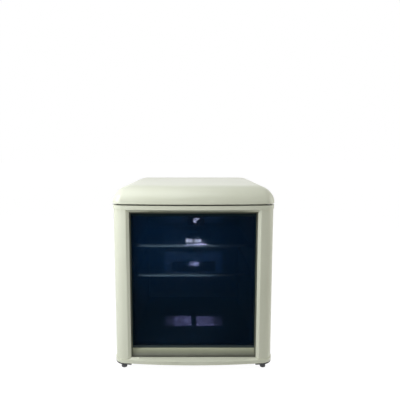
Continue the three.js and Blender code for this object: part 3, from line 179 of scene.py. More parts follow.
class Finish:
    """A node material with one Principled shader, and short ways to add procedural detail."""

    def __init__(self, name, base, roughness, **uniform):
        self.material = bpy.data.materials.new(name)
        self.material.use_nodes = True
        self.tree = self.material.node_tree
        self.shader = self.tree.nodes["Principled BSDF"]
        self.set("Base Color", (*base, 1.0))
        self.set("Roughness", roughness)
        for socket, value in uniform.items():
            self.set(socket.replace("_", " ").title().replace("Ior", "IOR"), value)
        self.base = base
        self.heights = []
        self.coordinates = self.add("ShaderNodeTexCoord").outputs["Object"]

    def set(self, socket, value):
        self.shader.inputs[socket].default_value = value

    def add(self, kind, **values):
        node = self.tree.nodes.new(kind)
        for name, value in values.items():
            if name in node.inputs:
                node.inputs[name].default_value = value
            else:
                setattr(node, name, value)
        return node

    def link(self, source, target):
        self.tree.links.new(source, target)

    def stretched(self, x, y, z):
        """Object coordinates stretched along the axes."""
        mapping = self.add("ShaderNodeMapping", Scale=(x, y, z))
        self.link(self.coordinates, mapping.inputs["Vector"])
        return mapping.outputs["Vector"]

    def axes(self):
        """Object coordinates, one output for each axis."""
        node = self.add("ShaderNodeSeparateXYZ")
        self.link(self.coordinates, node.inputs["Vector"])
        return node.outputs

    def noise(self, scale, detail=2.0, vector=None):
        node = self.add("ShaderNodeTexNoise", Scale=scale, Detail=detail)
        self.link(vector or self.coordinates, node.inputs["Vector"])
        return node.outputs["Fac"]

    def cells(self, scale, output="Distance"):
        node = self.add("ShaderNodeTexVoronoi", Scale=scale)
        self.link(self.coordinates, node.inputs["Vector"])
        return node.outputs[output]

    def combine(self, operation, *sources):
        """One value from one or two others, by a Math node's operation."""
        node = self.add("ShaderNodeMath", operation=operation)
        for source, target in zip(sources, node.inputs):
            self.link(source, target)
        return node.outputs[0]

    def span(self, source, low, high, from_low=0.0, from_high=1.0):
        """A value mapped from one span to another."""
        node = self.add("ShaderNodeMapRange")
        for name, value in zip(
            ("From Min", "From Max", "To Min", "To Max"), (from_low, from_high, low, high)
        ):
            node.inputs[name].default_value = value
        self.link(source, node.inputs["Value"])
        return node.outputs["Result"]

    def beyond(self, source, line, soft):
        """High past a line, low before it, with a soft edge on both sides of the line."""
        return self.span(source, 0.0, 1.0, line - soft, line + soft)

    def tint(self, source, dark, light, low=0.0, high=1.0):
        """Base colour between two multiples of itself, driven by a pattern."""
        ramp = self.add("ShaderNodeValToRGB")
        ramp.color_ramp.elements[0].position = low
        ramp.color_ramp.elements[1].position = high
        for element, factor in zip(ramp.color_ramp.elements, (dark, light)):
            factors = factor if isinstance(factor, tuple) else (factor,) * 3
            element.color = (*(min(1.0, c * f) for c, f in zip(self.base, factors)), 1.0)
        self.link(source, ramp.inputs["Fac"])
        self.link(ramp.outputs["Color"], self.shader.inputs["Base Color"])

    def blend_in(self, source, second):
        """Puts a second colour over the base colour where a pattern is high."""
        mix = self.add("ShaderNodeMix", data_type="RGBA")
        factor, first, over, mixed = mix.inputs[0], mix.inputs[6], mix.inputs[7], mix.outputs[2]
        target = self.shader.inputs["Base Color"]
        if target.links:
            self.link(target.links[0].from_socket, first)
        else:
            first.default_value = target.default_value
        over.default_value = (*second, 1.0)
        self.link(source, factor)
        self.link(mixed, target)

    def rough(self, source, low, high):
        """Roughness between two values, driven by a pattern."""
        self.link(self.span(source, low, high), self.shader.inputs["Roughness"])

    def relief(self, source, height, strength=1.0):
        """Adds a height pattern, in metres, to the surface."""
        node = self.add("ShaderNodeBump", Strength=strength, Distance=height)
        self.link(source, node.inputs["Height"])
        if self.heights:
            self.link(self.heights[-1], node.inputs["Normal"])
        self.heights.append(node.outputs["Normal"])
        self.link(node.outputs["Normal"], self.shader.inputs["Normal"])


def enamel(name, base, roughness, peel, grain=1.0):
    """Glossy enamel: orange peel, faint mottling, dulled patches and a little settled dust."""
    paint = Finish(name, base, roughness, coat_weight=0.12, coat_roughness=0.10)
    paint.tint(paint.noise(7.0, 3.0), (0.975, 0.975, 0.965), (1.02, 1.02, 1.03), 0.3, 0.7)
    paint.rough(paint.noise(24.0 * grain, 4.0), roughness - 0.05, roughness + 0.08)
    paint.relief(paint.noise(420.0 * grain, 1.0), peel)
    paint.relief(paint.noise(18.0, 1.0), 6 * peel, 0.35)
    near_floor = paint.span(paint.axes()["Z"], 0.18, 0.0, 0.02, 0.09)
    specks = paint.span(paint.noise(900.0, 2.0), 0.0, 1.0, 0.55, 0.75)
    paint.blend_in(paint.combine("MULTIPLY", near_floor, specks), DUST)
    return paint.material


def moulded(name, base, roughness, texture=0.00002, **uniform):
    """Moulded plastic: fine spark texture, soft mottling and scuffed sheen."""
    plastic = Finish(name, base, roughness, **uniform)
    plastic.tint(plastic.noise(30.0, 3.0), 0.85, 1.15, 0.3, 0.7)
    plastic.rough(plastic.noise(60.0, 4.0), roughness - 0.06, roughness + 0.12)
    plastic.relief(plastic.cells(1500.0), texture)
    plastic.relief(plastic.noise(300.0, 2.0), texture)
    return plastic.material


def brushed(name, base, roughness):
    """Metal with fine brush lines that run upwards."""
    metal = Finish(name, base, roughness, metallic=1.0)
    lines = metal.noise(1.0, 3.0, metal.stretched(900.0, 900.0, 9.0))
    metal.tint(lines, 0.85, 1.1, 0.25, 0.75)
    metal.rough(metal.noise(40.0, 3.0), roughness - 0.07, roughness + 0.1)
    metal.relief(lines, 0.000012)
    return metal.material


def metal_with_painted_highlight(name, low):
    """Satin metal strip with a painted highlight along its lower front edge, under a darker upper
    part.
    """
    # The first colour is the painted highlight on the lower front edge, the second the metal's own
    # colour above it.
    bright, dark = (0.125, 0.145, 0.152), (0.040, 0.046, 0.050)
    highlight_height, highlight_depth, soft = 0.0047, 0.0021, 0.0005
    metal = Finish(name, bright, 0.24, metallic=0.3)
    axes = metal.axes()
    lines = metal.noise(400.0, 2.0, metal.stretched(0.02, 1.0, 1.0))
    metal.tint(lines, 0.88, 1.12)
    metal.blend_in(metal.beyond(axes["Z"], low.z + highlight_height, soft), dark)
    metal.blend_in(metal.beyond(axes["Y"], low.y + highlight_depth, soft), dark)
    metal.rough(lines, 0.18, 0.32)
    return metal.material


def galvanised(name):
    """Zinc-coated sheet with a crystal spangle."""
    zinc = Finish(name, (0.46, 0.48, 0.50), 0.42, metallic=0.9)
    grey = zinc.add("ShaderNodeSeparateColor")
    zinc.link(zinc.cells(85.0, output="Color"), grey.inputs[0])
    zinc.tint(grey.outputs[0], 0.8, 1.2)
    zinc.rough(grey.outputs[1], 0.32, 0.55)
    zinc.relief(zinc.noise(500.0), 0.00001)
    return zinc.material


def rubber(name, base, roughness):
    """Dull rubber with fine pores and pale dust."""
    skin = Finish(name, base, roughness, specular_ior_level=0.3)
    skin.tint(skin.noise(70.0, 4.0), 0.8, 1.3, 0.3, 0.75)
    skin.rough(skin.noise(120.0), roughness - 0.1, min(roughness + 0.15, 1.0))
    skin.relief(skin.cells(1100.0), 0.00003)
    return skin.material


def wipe_marks(glass, roughness, smear, dark, light):
    """Faint wipe marks in a pane's gloss and slow changes in its tint."""
    wipe = glass.noise(3.0, 4.0, glass.stretched(6.0, 6.0, 1.2))
    glass.rough(wipe, roughness, roughness + smear)
    glass.tint(glass.noise(2.2, 1.0), dark, light, 0.3, 0.7)


def pane(name, base, cover, roughness, specular):
    """Thin glass: tinted cover, sharp reflections and faint wipe marks."""
    glass = Finish(name, base, roughness, alpha=cover, specular_ior_level=specular)
    wipe_marks(glass, roughness, 0.03, 0.7, 1.35)
    return glass.material


def shelf_pane(name, base, underside, top):
    """Clear glass that mirrors more on one face: both faces are given as height and cover."""
    roughness = 0.012
    glass = Finish(name, base, roughness, specular_ior_level=0.8, ior=1.8)
    cover = glass.span(glass.axes()["Z"], underside[1], top[1], underside[0], top[0])
    glass.link(cover, glass.shader.inputs["Alpha"])
    wipe_marks(glass, roughness, 0.010, 0.7, 1.35)
    return glass.material


def glowing(name, base, glow):
    """Lit plastic whose ribs break up the glow."""
    lens = Finish(name, base, 0.3)
    wave = lens.add("ShaderNodeTexWave", wave_type="BANDS", bands_direction="X", Scale=45.0)
    lens.link(lens.coordinates, wave.inputs["Vector"])
    ribs = wave.outputs["Fac"]
    lens.relief(ribs, 0.0001, 0.4)
    lens.set("Emission Color", (*base, 1.0))
    lens.link(lens.span(ribs, 0.8 * glow, glow), lens.shader.inputs["Emission Strength"])
    return lens.material


def trim_with_painted_shade(name, base, low, high):
    """Moulded trim with painted light and shade: darker towards its lower edge, paler towards its
    upper edge.
    """
    trim = Finish(name, base, 0.42)
    # Painted light and shade: the tint runs from dark at the lower height to pale at the upper
    # height.
    height = trim.span(trim.axes()["Z"], 0.0, 1.0, low, high)
    mottle = trim.span(trim.noise(40.0, 3.0), -0.06, 0.06)
    trim.tint(trim.combine("ADD", height, mottle), 0.55, 2.9)
    trim.rough(trim.noise(60.0, 4.0), 0.36, 0.54)
    trim.relief(trim.cells(1500.0), 0.00001)
    return trim.material


def tinted_pane(glazing, low, high):
    """Tinted glass: a painted reflection makes it bluer towards one upper corner; a printed border
    lies over its edges.
    """
    side_border, top_border, foot_border = 0.0095, 0.0180, 0.0315
    border_ink, foot_ink = (0.006, 0.018, 0.022), (0.048, 0.065, 0.068)
    soft, foot_soft = 0.0002, 0.0003
    middle = (low.z + high.z) / 2
    glass = Finish("Tinted glass", glazing.tint, 0.02, specular_ior_level=0.03)
    axes = glass.axes()
    wipe_marks(glass, 0.02, 0.03, 0.85, 1.15)
    # Painted reflection: bluer towards the top and towards the upper left corner.
    up = glass.span(axes["Z"], 0.0, 1.0, middle - 0.08, middle + 0.07)
    across = glass.span(axes["X"], 1.0, 0.35, low.x, high.x)
    glass.blend_in(glass.combine("MULTIPLY", up, across), glazing.reflection_tint)
    sides = glass.beyond(glass.combine("ABSOLUTE", axes["X"]), high.x - side_border, soft)
    head = glass.beyond(axes["Z"], high.z - top_border, soft)
    border = glass.combine("MAXIMUM", sides, head)
    glass.blend_in(border, border_ink)
    foot_line = low.z + foot_border
    foot = glass.span(axes["Z"], 1.0, 0.0, foot_line - foot_soft, foot_line + foot_soft)
    glass.blend_in(foot, foot_ink)
    printed = glass.combine("MAXIMUM", border, foot)
    glass.link(glass.span(printed, glazing.cover, 1.0), glass.shader.inputs["Alpha"])
    return glass.material


def foam(name):
    """Blown foam with open cells."""
    blown = Finish(name, (0.72, 0.62, 0.34), 0.9)
    blown.tint(blown.noise(40.0, 4.0), 0.75, 1.1, 0.3, 0.7)
    blown.relief(blown.cells(420.0), 0.0006)
    return blown.material


def board(name):
    """Lacquered circuit board with copper traces."""
    green, trace_green = (0.010, 0.085, 0.035), (0.16, 0.30, 0.10)
    lacquer = Finish(name, green, 0.35, coat_weight=0.4)
    bricks = lacquer.add("ShaderNodeTexBrick", Scale=95.0)
    bricks.inputs["Mortar Size"].default_value = 0.06
    lacquer.link(lacquer.stretched(1.0, 1.0, 0.6), bricks.inputs["Vector"])
    traces = bricks.outputs["Fac"]
    lacquer.blend_in(traces, trace_green)
    lacquer.relief(traces, 0.00006)
    return lacquer.material


def ceramic(name):
    """Unglazed ceramic with a faint speckle."""
    tile = Finish(name, (0.80, 0.80, 0.76), 0.6)
    tile.tint(tile.noise(800.0, 3.0), 0.85, 1.05, 0.35, 0.65)
    tile.relief(tile.noise(1200.0), 0.00002)
    return tile.material


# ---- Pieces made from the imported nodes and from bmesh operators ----

# Radii of rounded edges, from the screws' to the shelf trims'.
HAIR, FINE, PLAIN, SOFT, FULL, BLUNT = 0.0002, 0.0003, 0.0004, 0.0005, 0.0006, 0.0010


def dress(node, material):
    """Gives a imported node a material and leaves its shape."""
    frame["nodes"][node].material_slots[0].material = material


def order(element):
    """A number from an edge's or a face's lowest three vertices, the same on every run."""
    number, most_vertices = 0, 10000
    for index in sorted(vertex.index for vertex in element.verts)[:3]:
        number = most_vertices * number + index
    return number


def mesh_of(name, shape):
    """A mesh from a bmesh, with its edges and faces in an order that is the same on every run."""
    shape.verts.index_update()
    shape.edges.sort(key=order)
    shape.faces.sort(key=order)
    mesh = bpy.data.meshes.new(name)
    shape.to_mesh(mesh)
    shape.free()
    return mesh


def settle(name, mesh, material, node):
    """Makes a finished piece of a mesh: it stands for its node and rides on the node's body."""
    mesh.materials.clear()
    mesh.materials.append(material)
    piece = bpy.data.objects.new(name, mesh)
    bpy.context.scene.collection.objects.link(piece)
    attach(piece, body_of(node))
    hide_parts(node)
    return piece


def round_edges(piece, width, segments, angle=32.0):
    """Rounds a piece's sharp edges and shades the rest smooth."""
    bevel = piece.modifiers.new("Rounded edges", "BEVEL")
    bevel.width = width
    bevel.segments = segments
    bevel.limit_method = "ANGLE"
    bevel.angle_limit = math.radians(angle)
    bevel.use_clamp_overlap = True
    for face in piece.data.polygons:
        face.use_smooth = True
    piece.data.set_sharp_from_angle(angle=math.radians(angle))
    shading = piece.modifiers.new("Even shading", "WEIGHTED_NORMAL")
    shading.mode = "FACE_AREA"
    shading.weight = 100
    shading.keep_sharp = True


def soften(node, material, width, segments=2):
    """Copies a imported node, cleans its flat faces and rounds its edges."""
    merge_distance, flat_angle = 0.00001, 0.04
    mesh = frame["nodes"][node].data.copy()
    shape = bmesh.new()
    shape.from_mesh(mesh)
    bmesh.ops.remove_doubles(shape, verts=shape.verts, dist=merge_distance)
    bmesh.ops.dissolve_limit(
        shape, angle_limit=math.radians(flat_angle), use_dissolve_boundaries=False,
        verts=shape.verts, edges=shape.edges,
    )
    shape.to_mesh(mesh)
    shape.free()
    piece = settle(f"{node}_piece", mesh, material, node)
    round_edges(piece, width, segments)


def loft(rings):
    """A shell drawn up ring by ring from a circle, and closed at the top."""
    shape = bmesh.new()
    bmesh.ops.create_circle(shape, segments=len(rings[0]), radius=1.0)
    shape.verts.ensure_lookup_table()
    ring = list(shape.verts)
    for vertex, place in zip(ring, rings[0]):
        vertex.co = place
    edges = list(shape.edges)
    for places in rings[1:]:
        made = bmesh.ops.extrude_edge_only(shape, edges=edges)["geom"]
        fresh = {v for v in made if isinstance(v, bmesh.types.BMVert)}
        edges = [
            e for e in made
            if isinstance(e, bmesh.types.BMEdge) and all(v in fresh for v in e.verts)
        ]
        above = {
            e.other_vert(v): v
            for v in fresh for e in v.link_edges if e.other_vert(v) not in fresh
        }
        ring = [above[v] for v in ring]
        for vertex, place in zip(ring, places):
            vertex.co = place
    bmesh.ops.contextual_create(shape, geom=edges)
    bmesh.ops.recalc_face_normals(shape, faces=shape.faces)
    return shape


def seen_directly(tree):
    """High where a ray comes from the camera, through glass or off a mirror."""
    rays = tree.nodes.new("ShaderNodeLightPath").outputs
    seen = rays["Is Camera Ray"]
    for kind in ("Is Transmission Ray", "Is Glossy Ray"):
        either = tree.nodes.new("ShaderNodeMath")
        either.operation = "MAXIMUM"
        tree.links.new(seen, either.inputs[0])
        tree.links.new(rays[kind], either.inputs[1])
        seen = either.outputs[0]
    return seen


# ---- Operators ----


class FRIDGE_OT_stage(bpy.types.Operator):
    """Make the studio: floor, background, soft lights and camera"""

    bl_idname = "mini_fridge.stage"
    bl_label = "Studio"

    cool = (0.93, 0.95, 1.0)
    sky = (0.90, 0.91, 1.0)
    warm = (1.0, 0.99, 0.96)
    # Each lamp's place, the point that it faces, its width and its tone.
    lamps = {
        "key": ((-1.0, -0.55, 0.90), (-0.1, -0.2, 0.45), 0.65, cool),
        "left": ((-0.95, -1.10, 0.25), (0.1, -0.2, 0.25), 0.65, cool),
        "front": ((-0.25, -0.60, 1.35), (0.0, -0.1, 0.45), 0.75, cool),
        "low": ((0.3, -1.7, 0.12), (0.0, 0.0, 0.2), 0.5, warm),
        "side": ((1.5, -0.2, 0.7), (0.0, 0.0, 0.3), 0.9, warm),
        "top": ((-0.45, 0.10, 1.9), (0.0, 0.0, 0.4), 1.2, sky),
        "back": ((0.5, 1.9, 1.1), (0.0, 0.0, 0.3), 1.0, warm),
    }
    # The mirror images of these would bleach the lid's flat top and show in the pane.
    unmirrored = ("back", "low")
    ambient_tone = (0.98, 0.99, 1.0, 1.0)
    floor_reach = 30.0
    # The floor's own glow, and its share in what the camera and mirrors see of the floor.
    floor_glow = 1.34
    glow_share = 0.72
    focal_length = 36.18
    sensor_width = 36.0
    shift_right = 0.01625
    pitch = 6.4

    def execute(self, context):
        studio = settings().studio
        self.make_floor(context, studio)
        self.make_world(context, studio)
        for name in self.lamps:
            self.make_light(context, name, getattr(studio, name))
        self.make_camera(context, studio)
        context.scene.view_settings.view_transform = "Standard"
        return {"FINISHED"}

    def make_floor(self, context, studio):
        shape = bmesh.new()
        bmesh.ops.create_grid(shape, x_segments=1, y_segments=1, size=self.floor_reach)
        mesh = mesh_of("Studio floor", shape)
        floor = bpy.data.objects.new("Studio_floor", mesh)
        context.scene.collection.objects.link(floor)
        paper = Finish("Studio paper", studio.backdrop, 0.85)
        paper.relief(paper.noise(180.0, 3.0), 0.0001, 0.2)
        paper.rough(paper.noise(12.0), 0.8, 0.95)
        share = paper.span(seen_directly(paper.tree), 0.0, self.glow_share)
        white = paper.add("ShaderNodeEmission", Color=WHITE, Strength=self.floor_glow)
        mix = paper.add("ShaderNodeMixShader")
        paper.link(share, mix.inputs[0])
        paper.link(paper.shader.outputs[0], mix.inputs[1])
        paper.link(white.outputs[0], mix.inputs[2])
        paper.link(mix.outputs[0], paper.tree.nodes["Material Output"].inputs["Surface"])
        mesh.materials.append(paper.material)

    def make_world(self, context, studio):
        world = bpy.data.worlds.new("Studio world")
        world.use_nodes = True
        nodes, links = world.node_tree.nodes, world.node_tree.links
        ambient = nodes["Background"]
        ambient.inputs["Color"].default_value = self.ambient_tone
        ambient.inputs["Strength"].default_value = studio.ambient
        white = nodes.new("ShaderNodeBackground")
        white.inputs["Color"].default_value = WHITE
        white.inputs["Strength"].default_value = 1.0
        mix = nodes.new("ShaderNodeMixShader")
        links.new(seen_directly(world.node_tree), mix.inputs[0])
        links.new(ambient.outputs[0], mix.inputs[1])
        links.new(white.outputs[0], mix.inputs[2])
        links.new(mix.outputs[0], nodes["World Output"].inputs["Surface"])
        context.scene.world = world

    def make_light(self, context, name, energy):
        place, target, size, tone = self.lamps[name]
        lamp = bpy.data.lights.new(f"{name.capitalize()} light", "AREA")
        lamp.shape = "SQUARE"
        lamp.size = size
        lamp.energy = energy
        lamp.color = tone
        light = bpy.data.objects.new(lamp.name, lamp)
        light.location = place
        aim = Vector(target) - Vector(place)
        light.rotation_euler = aim.to_track_quat("-Z", "Y").to_euler()
        light.visible_glossy = name not in self.unmirrored
        context.scene.collection.objects.link(light)

    def make_camera(self, context, studio):
        lens = bpy.data.cameras.new("Camera")
        lens.lens = self.focal_length
        lens.sensor_width = self.sensor_width
        lens.shift_x = self.shift_right
        camera = bpy.data.objects.new("Camera", lens)
        camera.location = (0.0, -studio.camera_distance, studio.camera_height)
        camera.rotation_euler = (math.radians(90.0 - self.pitch), 0.0, 0.0)
        context.scene.collection.objects.link(camera)
        context.scene.camera = camera


class FRIDGE_OT_lid(bpy.types.Operator):
    """Make the domed lid and the plate under its overhang"""

    bl_idname = "mini_fridge.lid"
    bl_label = "Lid"

    # Radii of the plan's front and rear corners, and how fast they shrink up the shoulder.
    front_corner, rear_corner, least_corner = 0.032, 0.036, 0.004
    shrink = 0.55
    shoulder = 0.054
    exponent = 2.1
    crown = 0.001
    wall = 0.003
    edge = 0.0012
    edge_angle = 60.0
    bow_radius = 1.55
    shoulder_steps = 22
    arc_steps = 12
    crown_shares = (0.72, 0.5, 0.28)

    def execute(self, context):
        paint = settings().enamel
        cream = enamel("Lid enamel", paint.lid_cream, paint.roughness, paint.orange_peel)
        low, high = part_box("lid")
        mesh = mesh_of("Lid shell", loft(self.dome(low, high)))
        shell = settle("lid_piece", mesh, cream, "lid")
        wall = shell.modifiers.new("Wall", "SOLIDIFY")
        wall.thickness = self.wall
        wall.offset = -1.0
        round_edges(shell, self.edge, segments=3, angle=self.edge_angle)
        # The plate under the overhang is coloured dark as painted shade, so that the seam between
        # the lid and the door reads dark.
        painted_seam_shade = moulded("Underplate plastic", (0.030, 0.030, 0.022), 0.7)
        soften("lid_underplate", painted_seam_shade, PLAIN)
        return {"FINISHED"}

    def dome(self, low, high):
        """Rings up the shoulder's superellipse, then in over the slightly crowned top."""
        rings = [self.ring(low, high, 0.0, low.z)]
        for step in range(1, self.shoulder_steps + 1):
            angle = (math.pi / 2) * step / self.shoulder_steps
            run = self.shoulder * (1 - math.cos(angle) ** (2 / self.exponent))
            rise = (high.z - low.z - self.crown) * math.sin(angle) ** (2 / self.exponent)
            rings.append(self.ring(low, high, run, low.z + rise))
        rim = rings[-1]
        middle = Vector((0.0, (low.y + high.y) / 2, high.z))
        widest, least = self.crown_shares[0], self.crown_shares[-1]
        for share in self.crown_shares:
            rings.append([middle.lerp(point, share) for point in rim])
            for point in rings[-1]:
                point.z = high.z - self.crown * ((share - least) / widest) ** 2
        return rings

    def ring(self, low, high, inset, level):
        """The lid's plan: a bowed front, round corners and straight sides."""
        half, front, back = high.x - inset, low.y + inset, high.y - inset
        turn = max(self.front_corner - self.shrink * inset, self.least_corner)
        rear = max(self.rear_corner - self.shrink * inset, self.least_corner)
        reach = self.bow_radius - turn
        lean = math.asin((half - turn) / reach)
        centre = front + self.bow_radius
        pivot = (half - turn, centre - reach * math.cos(lean))
        right = self.arc((0.0, centre), self.bow_radius, 0.0, lean)
        right += self.arc(pivot, turn, lean, math.pi / 2)[1:]
        start = right[-1][1]
        right += [(half, start + (back - rear - start) * step / 9) for step in range(1, 9)]
        right += self.arc((half - rear, back - rear), rear, math.pi / 2, math.pi)
        right += [((half - rear) * (1 - step / 6), back) for step in range(1, 7)]
        left = [(-x, y) for x, y in reversed(right[1:-1])]
        return [Vector((x, y, level)) for x, y in right + left]

    def arc(self, centre, radius, start, end):
        """Points from one angle to another: 0 faces the front, a quarter turn the right."""
        points = []
        for step in range(self.arc_steps + 1):
            angle = start + (end - start) * step / self.arc_steps
            points.append(
                (centre[0] + radius * math.sin(angle), centre[1] - radius * math.cos(angle))
            )
        return points


class FRIDGE_OT_cabinet(bpy.types.Operator):
    """Make the steel cabinet with its panels, trays and insulation"""

    bl_idname = "mini_fridge.cabinet"
    bl_label = "Cabinet"

    def execute(self, context):
        paint = settings().enamel
        cream = enamel("Panel enamel", paint.cream, paint.roughness, paint.orange_peel)
        zinc = galvanised("Zinc sheet")
        for node in ("side_panel_left", "side_panel_right", "back_panel"):
            soften(node, cream, PLAIN)
        for node in ("top_plate", "base_pan"):
            soften(node, zinc, FINE)
        dress("foam_insulation", foam("Insulating foam"))
        return {"FINISHED"}


class FRIDGE_OT_door_frame(bpy.types.Operator):
    """Make the door's stiles, end caps and glazing trim"""

    bl_idname = "mini_fridge.door_frame"
    bl_label = "Door frame"

    def execute(self, context):
        paint = settings().enamel
        panel = enamel("Door enamel", paint.cream, paint.roughness, paint.orange_peel)
        cap = enamel("Cap enamel", paint.lid_cream, paint.roughness + 0.02, paint.orange_peel, 1.3)
        olive = moulded("Olive trim", paint.trim, 0.42, 0.00001)
        for node in ("door_stile_left", "door_stile_right"):
            soften(node, panel, paint.edge, segments=3)
        for node in ("door_top_cap", "door_bottom_cap"):
            soften(node, cap, paint.edge, segments=3)
        soften("glass_trim", olive, PLAIN)
        # The sill's painted shade is darkest at its low front edge by the rail and palest at its
        # upper edge.
        low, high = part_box("door_sill")
        sill = trim_with_painted_shade("Sill trim", paint.trim, low.z + 0.003, high.z - 0.002)
        soften("door_sill", sill, SOFT)
        bush = moulded("Bush plastic", (0.02, 0.02, 0.022), 0.4)
        for node in ("door_bush_top", "door_bush_bottom"):
            soften(node, bush, PLAIN)
        return {"FINISHED"}


class FRIDGE_OT_glazing(bpy.types.Operator):
    """Make the two panes, the spacer between them, the back frame and the seal"""

    bl_idname = "mini_fridge.glazing"
    bl_label = "Glazing and seal"

    def execute(self, context):
        glazing = settings().glazing
        tinted = tinted_pane(glazing, *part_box("outer_glass"))
        clear = pane("Clear glass", (0.02, 0.03, 0.03), 0.06, 0.02, 0.2)
        black = moulded("Frame plastic", (0.012, 0.013, 0.016), 0.45)
        seal = rubber("Seal rubber", (0.035, 0.036, 0.038), 0.6)
        soften("outer_glass", tinted, SOFT)
        soften("inner_glass", clear, SOFT)
        soften("glass_spacer", black, FINE)
        soften("door_back_frame", black, FULL)
        soften("door_gasket", seal, FINE)
        return {"FINISHED"}


class FRIDGE_OT_display(bpy.types.Operator):
    """Make the temperature display behind the glass"""

    bl_idname = "mini_fridge.display"
    bl_label = "Display"

    lit = {
        "0": "abcdef", "1": "bc", "2": "abged", "3": "abgcd", "4": "fgbc",
        "5": "afgcd", "6": "afgedc", "7": "abc", "8": "abcdefg", "9": "abcdfg",
    }
    # Shares of a digit's height.
    digit_width, digit_gap = 0.52, 0.22
    bar_width, bar_clearance = 0.15, 0.04
    degree_room, degree_start, degree_radius = 0.30, 0.10, 0.16
    # Shares of a digit's width and of the ring's radius.
    narrow_digit = 0.3
    ring_width = 0.45
    slant = 0.12
    middle_height = 0.014
    depth = 0.0004
    clearance = 0.00008

    def execute(self, context):
        display = settings().display
        housing = moulded("Display housing", (0.008, 0.009, 0.012), 0.35)
        soften("display_module", housing, PLAIN)
        low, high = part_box("display_module")
        shape = self.draw_reading(display, (low.x + high.x) / 2, low.z + self.middle_height)
        for vertex in shape.verts:
            vertex.co.y = low.y - self.clearance
        made = bmesh.ops.extrude_face_region(shape, geom=shape.faces[:])
        moved = [v for v in made["geom"] if isinstance(v, bmesh.types.BMVert)]
        bmesh.ops.translate(shape, verts=moved, vec=(0.0, self.depth, 0.0))
        bmesh.ops.recalc_face_normals(shape, faces=shape.faces)
        mesh = mesh_of("Display digits", shape)
        mesh.materials.append(glowing("Lit segments", display.glow, display.glow_strength))
        piece = bpy.data.objects.new("display_digits", mesh)
        context.scene.collection.objects.link(piece)
        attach(piece, "door")
        return {"FINISHED"}

    def draw_reading(self, display, x, z):
        """Two slanted digits and a degree ring, flat, with their middle at the point given."""
        height = display.digit_height
        width, gap = self.digit_width * height, self.digit_gap * height
        shape = bmesh.new()
        digits = f"{display.temperature:02d}"
        widths = [self.narrow_digit * width if digit == "1" else width for digit in digits]
        cursor = x - (sum(widths) + 2 * gap + self.degree_room * height) / 2
        base = z - height / 2
        for digit, room in zip(digits, widths):
            self.draw_digit(shape, digit, cursor + room - width, base, width, height)
            cursor += room + gap
        ring_x = cursor + self.degree_start * height
        self.draw_degree(shape, ring_x, base + height, self.degree_radius * height)
        for vertex in shape.verts:
            vertex.co.x += self.slant * (vertex.co.z - base)
        return shape

    def draw_bar(self, shape, start, end, width):
        """One segment: a bar with pointed ends."""
        along = (end - start).normalized()
        across = Vector((-along.z, 0.0, along.x)) * (width / 2)
        point = along * (width / 2)
        corners = (
            start, start + point + across, end - point + across,
            end, end - point - across, start + point - across,
        )
        bmesh.ops.contextual_create(shape, geom=[shape.verts.new(corner) for corner in corners])

    def draw_digit(self, shape, digit, x, z, width, height):
        def at(across, up):
            return Vector((x + across * width, 0.0, z + up * height))

        bars = {
            "a": (at(0, 1), at(1, 1)), "b": (at(1, 0.5), at(1, 1)), "c": (at(1, 0), at(1, 0.5)),
            "d": (at(0, 0), at(1, 0)), "e": (at(0, 0), at(0, 0.5)), "f": (at(0, 0.5), at(0, 1)),
            "g": (at(0, 0.5), at(1, 0.5)),
        }
        for letter in self.lit[digit]:
            start, end = bars[letter]
            clear = (end - start).normalized() * (self.bar_clearance * height)
            self.draw_bar(shape, start + clear, end - clear, self.bar_width * height)

    def draw_degree(self, shape, x, z, radius):
        ring = bmesh.ops.create_circle(shape, segments=16, radius=radius, cap_ends=True)["verts"]
        for vertex in ring:
            vertex.co = Vector((x + vertex.co.x, 0.0, z - radius + vertex.co.y))
        face = ring[0].link_faces[0]
        face.normal_update()
        bmesh.ops.inset_individual(shape, faces=[face], thickness=self.ring_width * radius)
        bmesh.ops.delete(shape, geom=[face], context="FACES_ONLY")


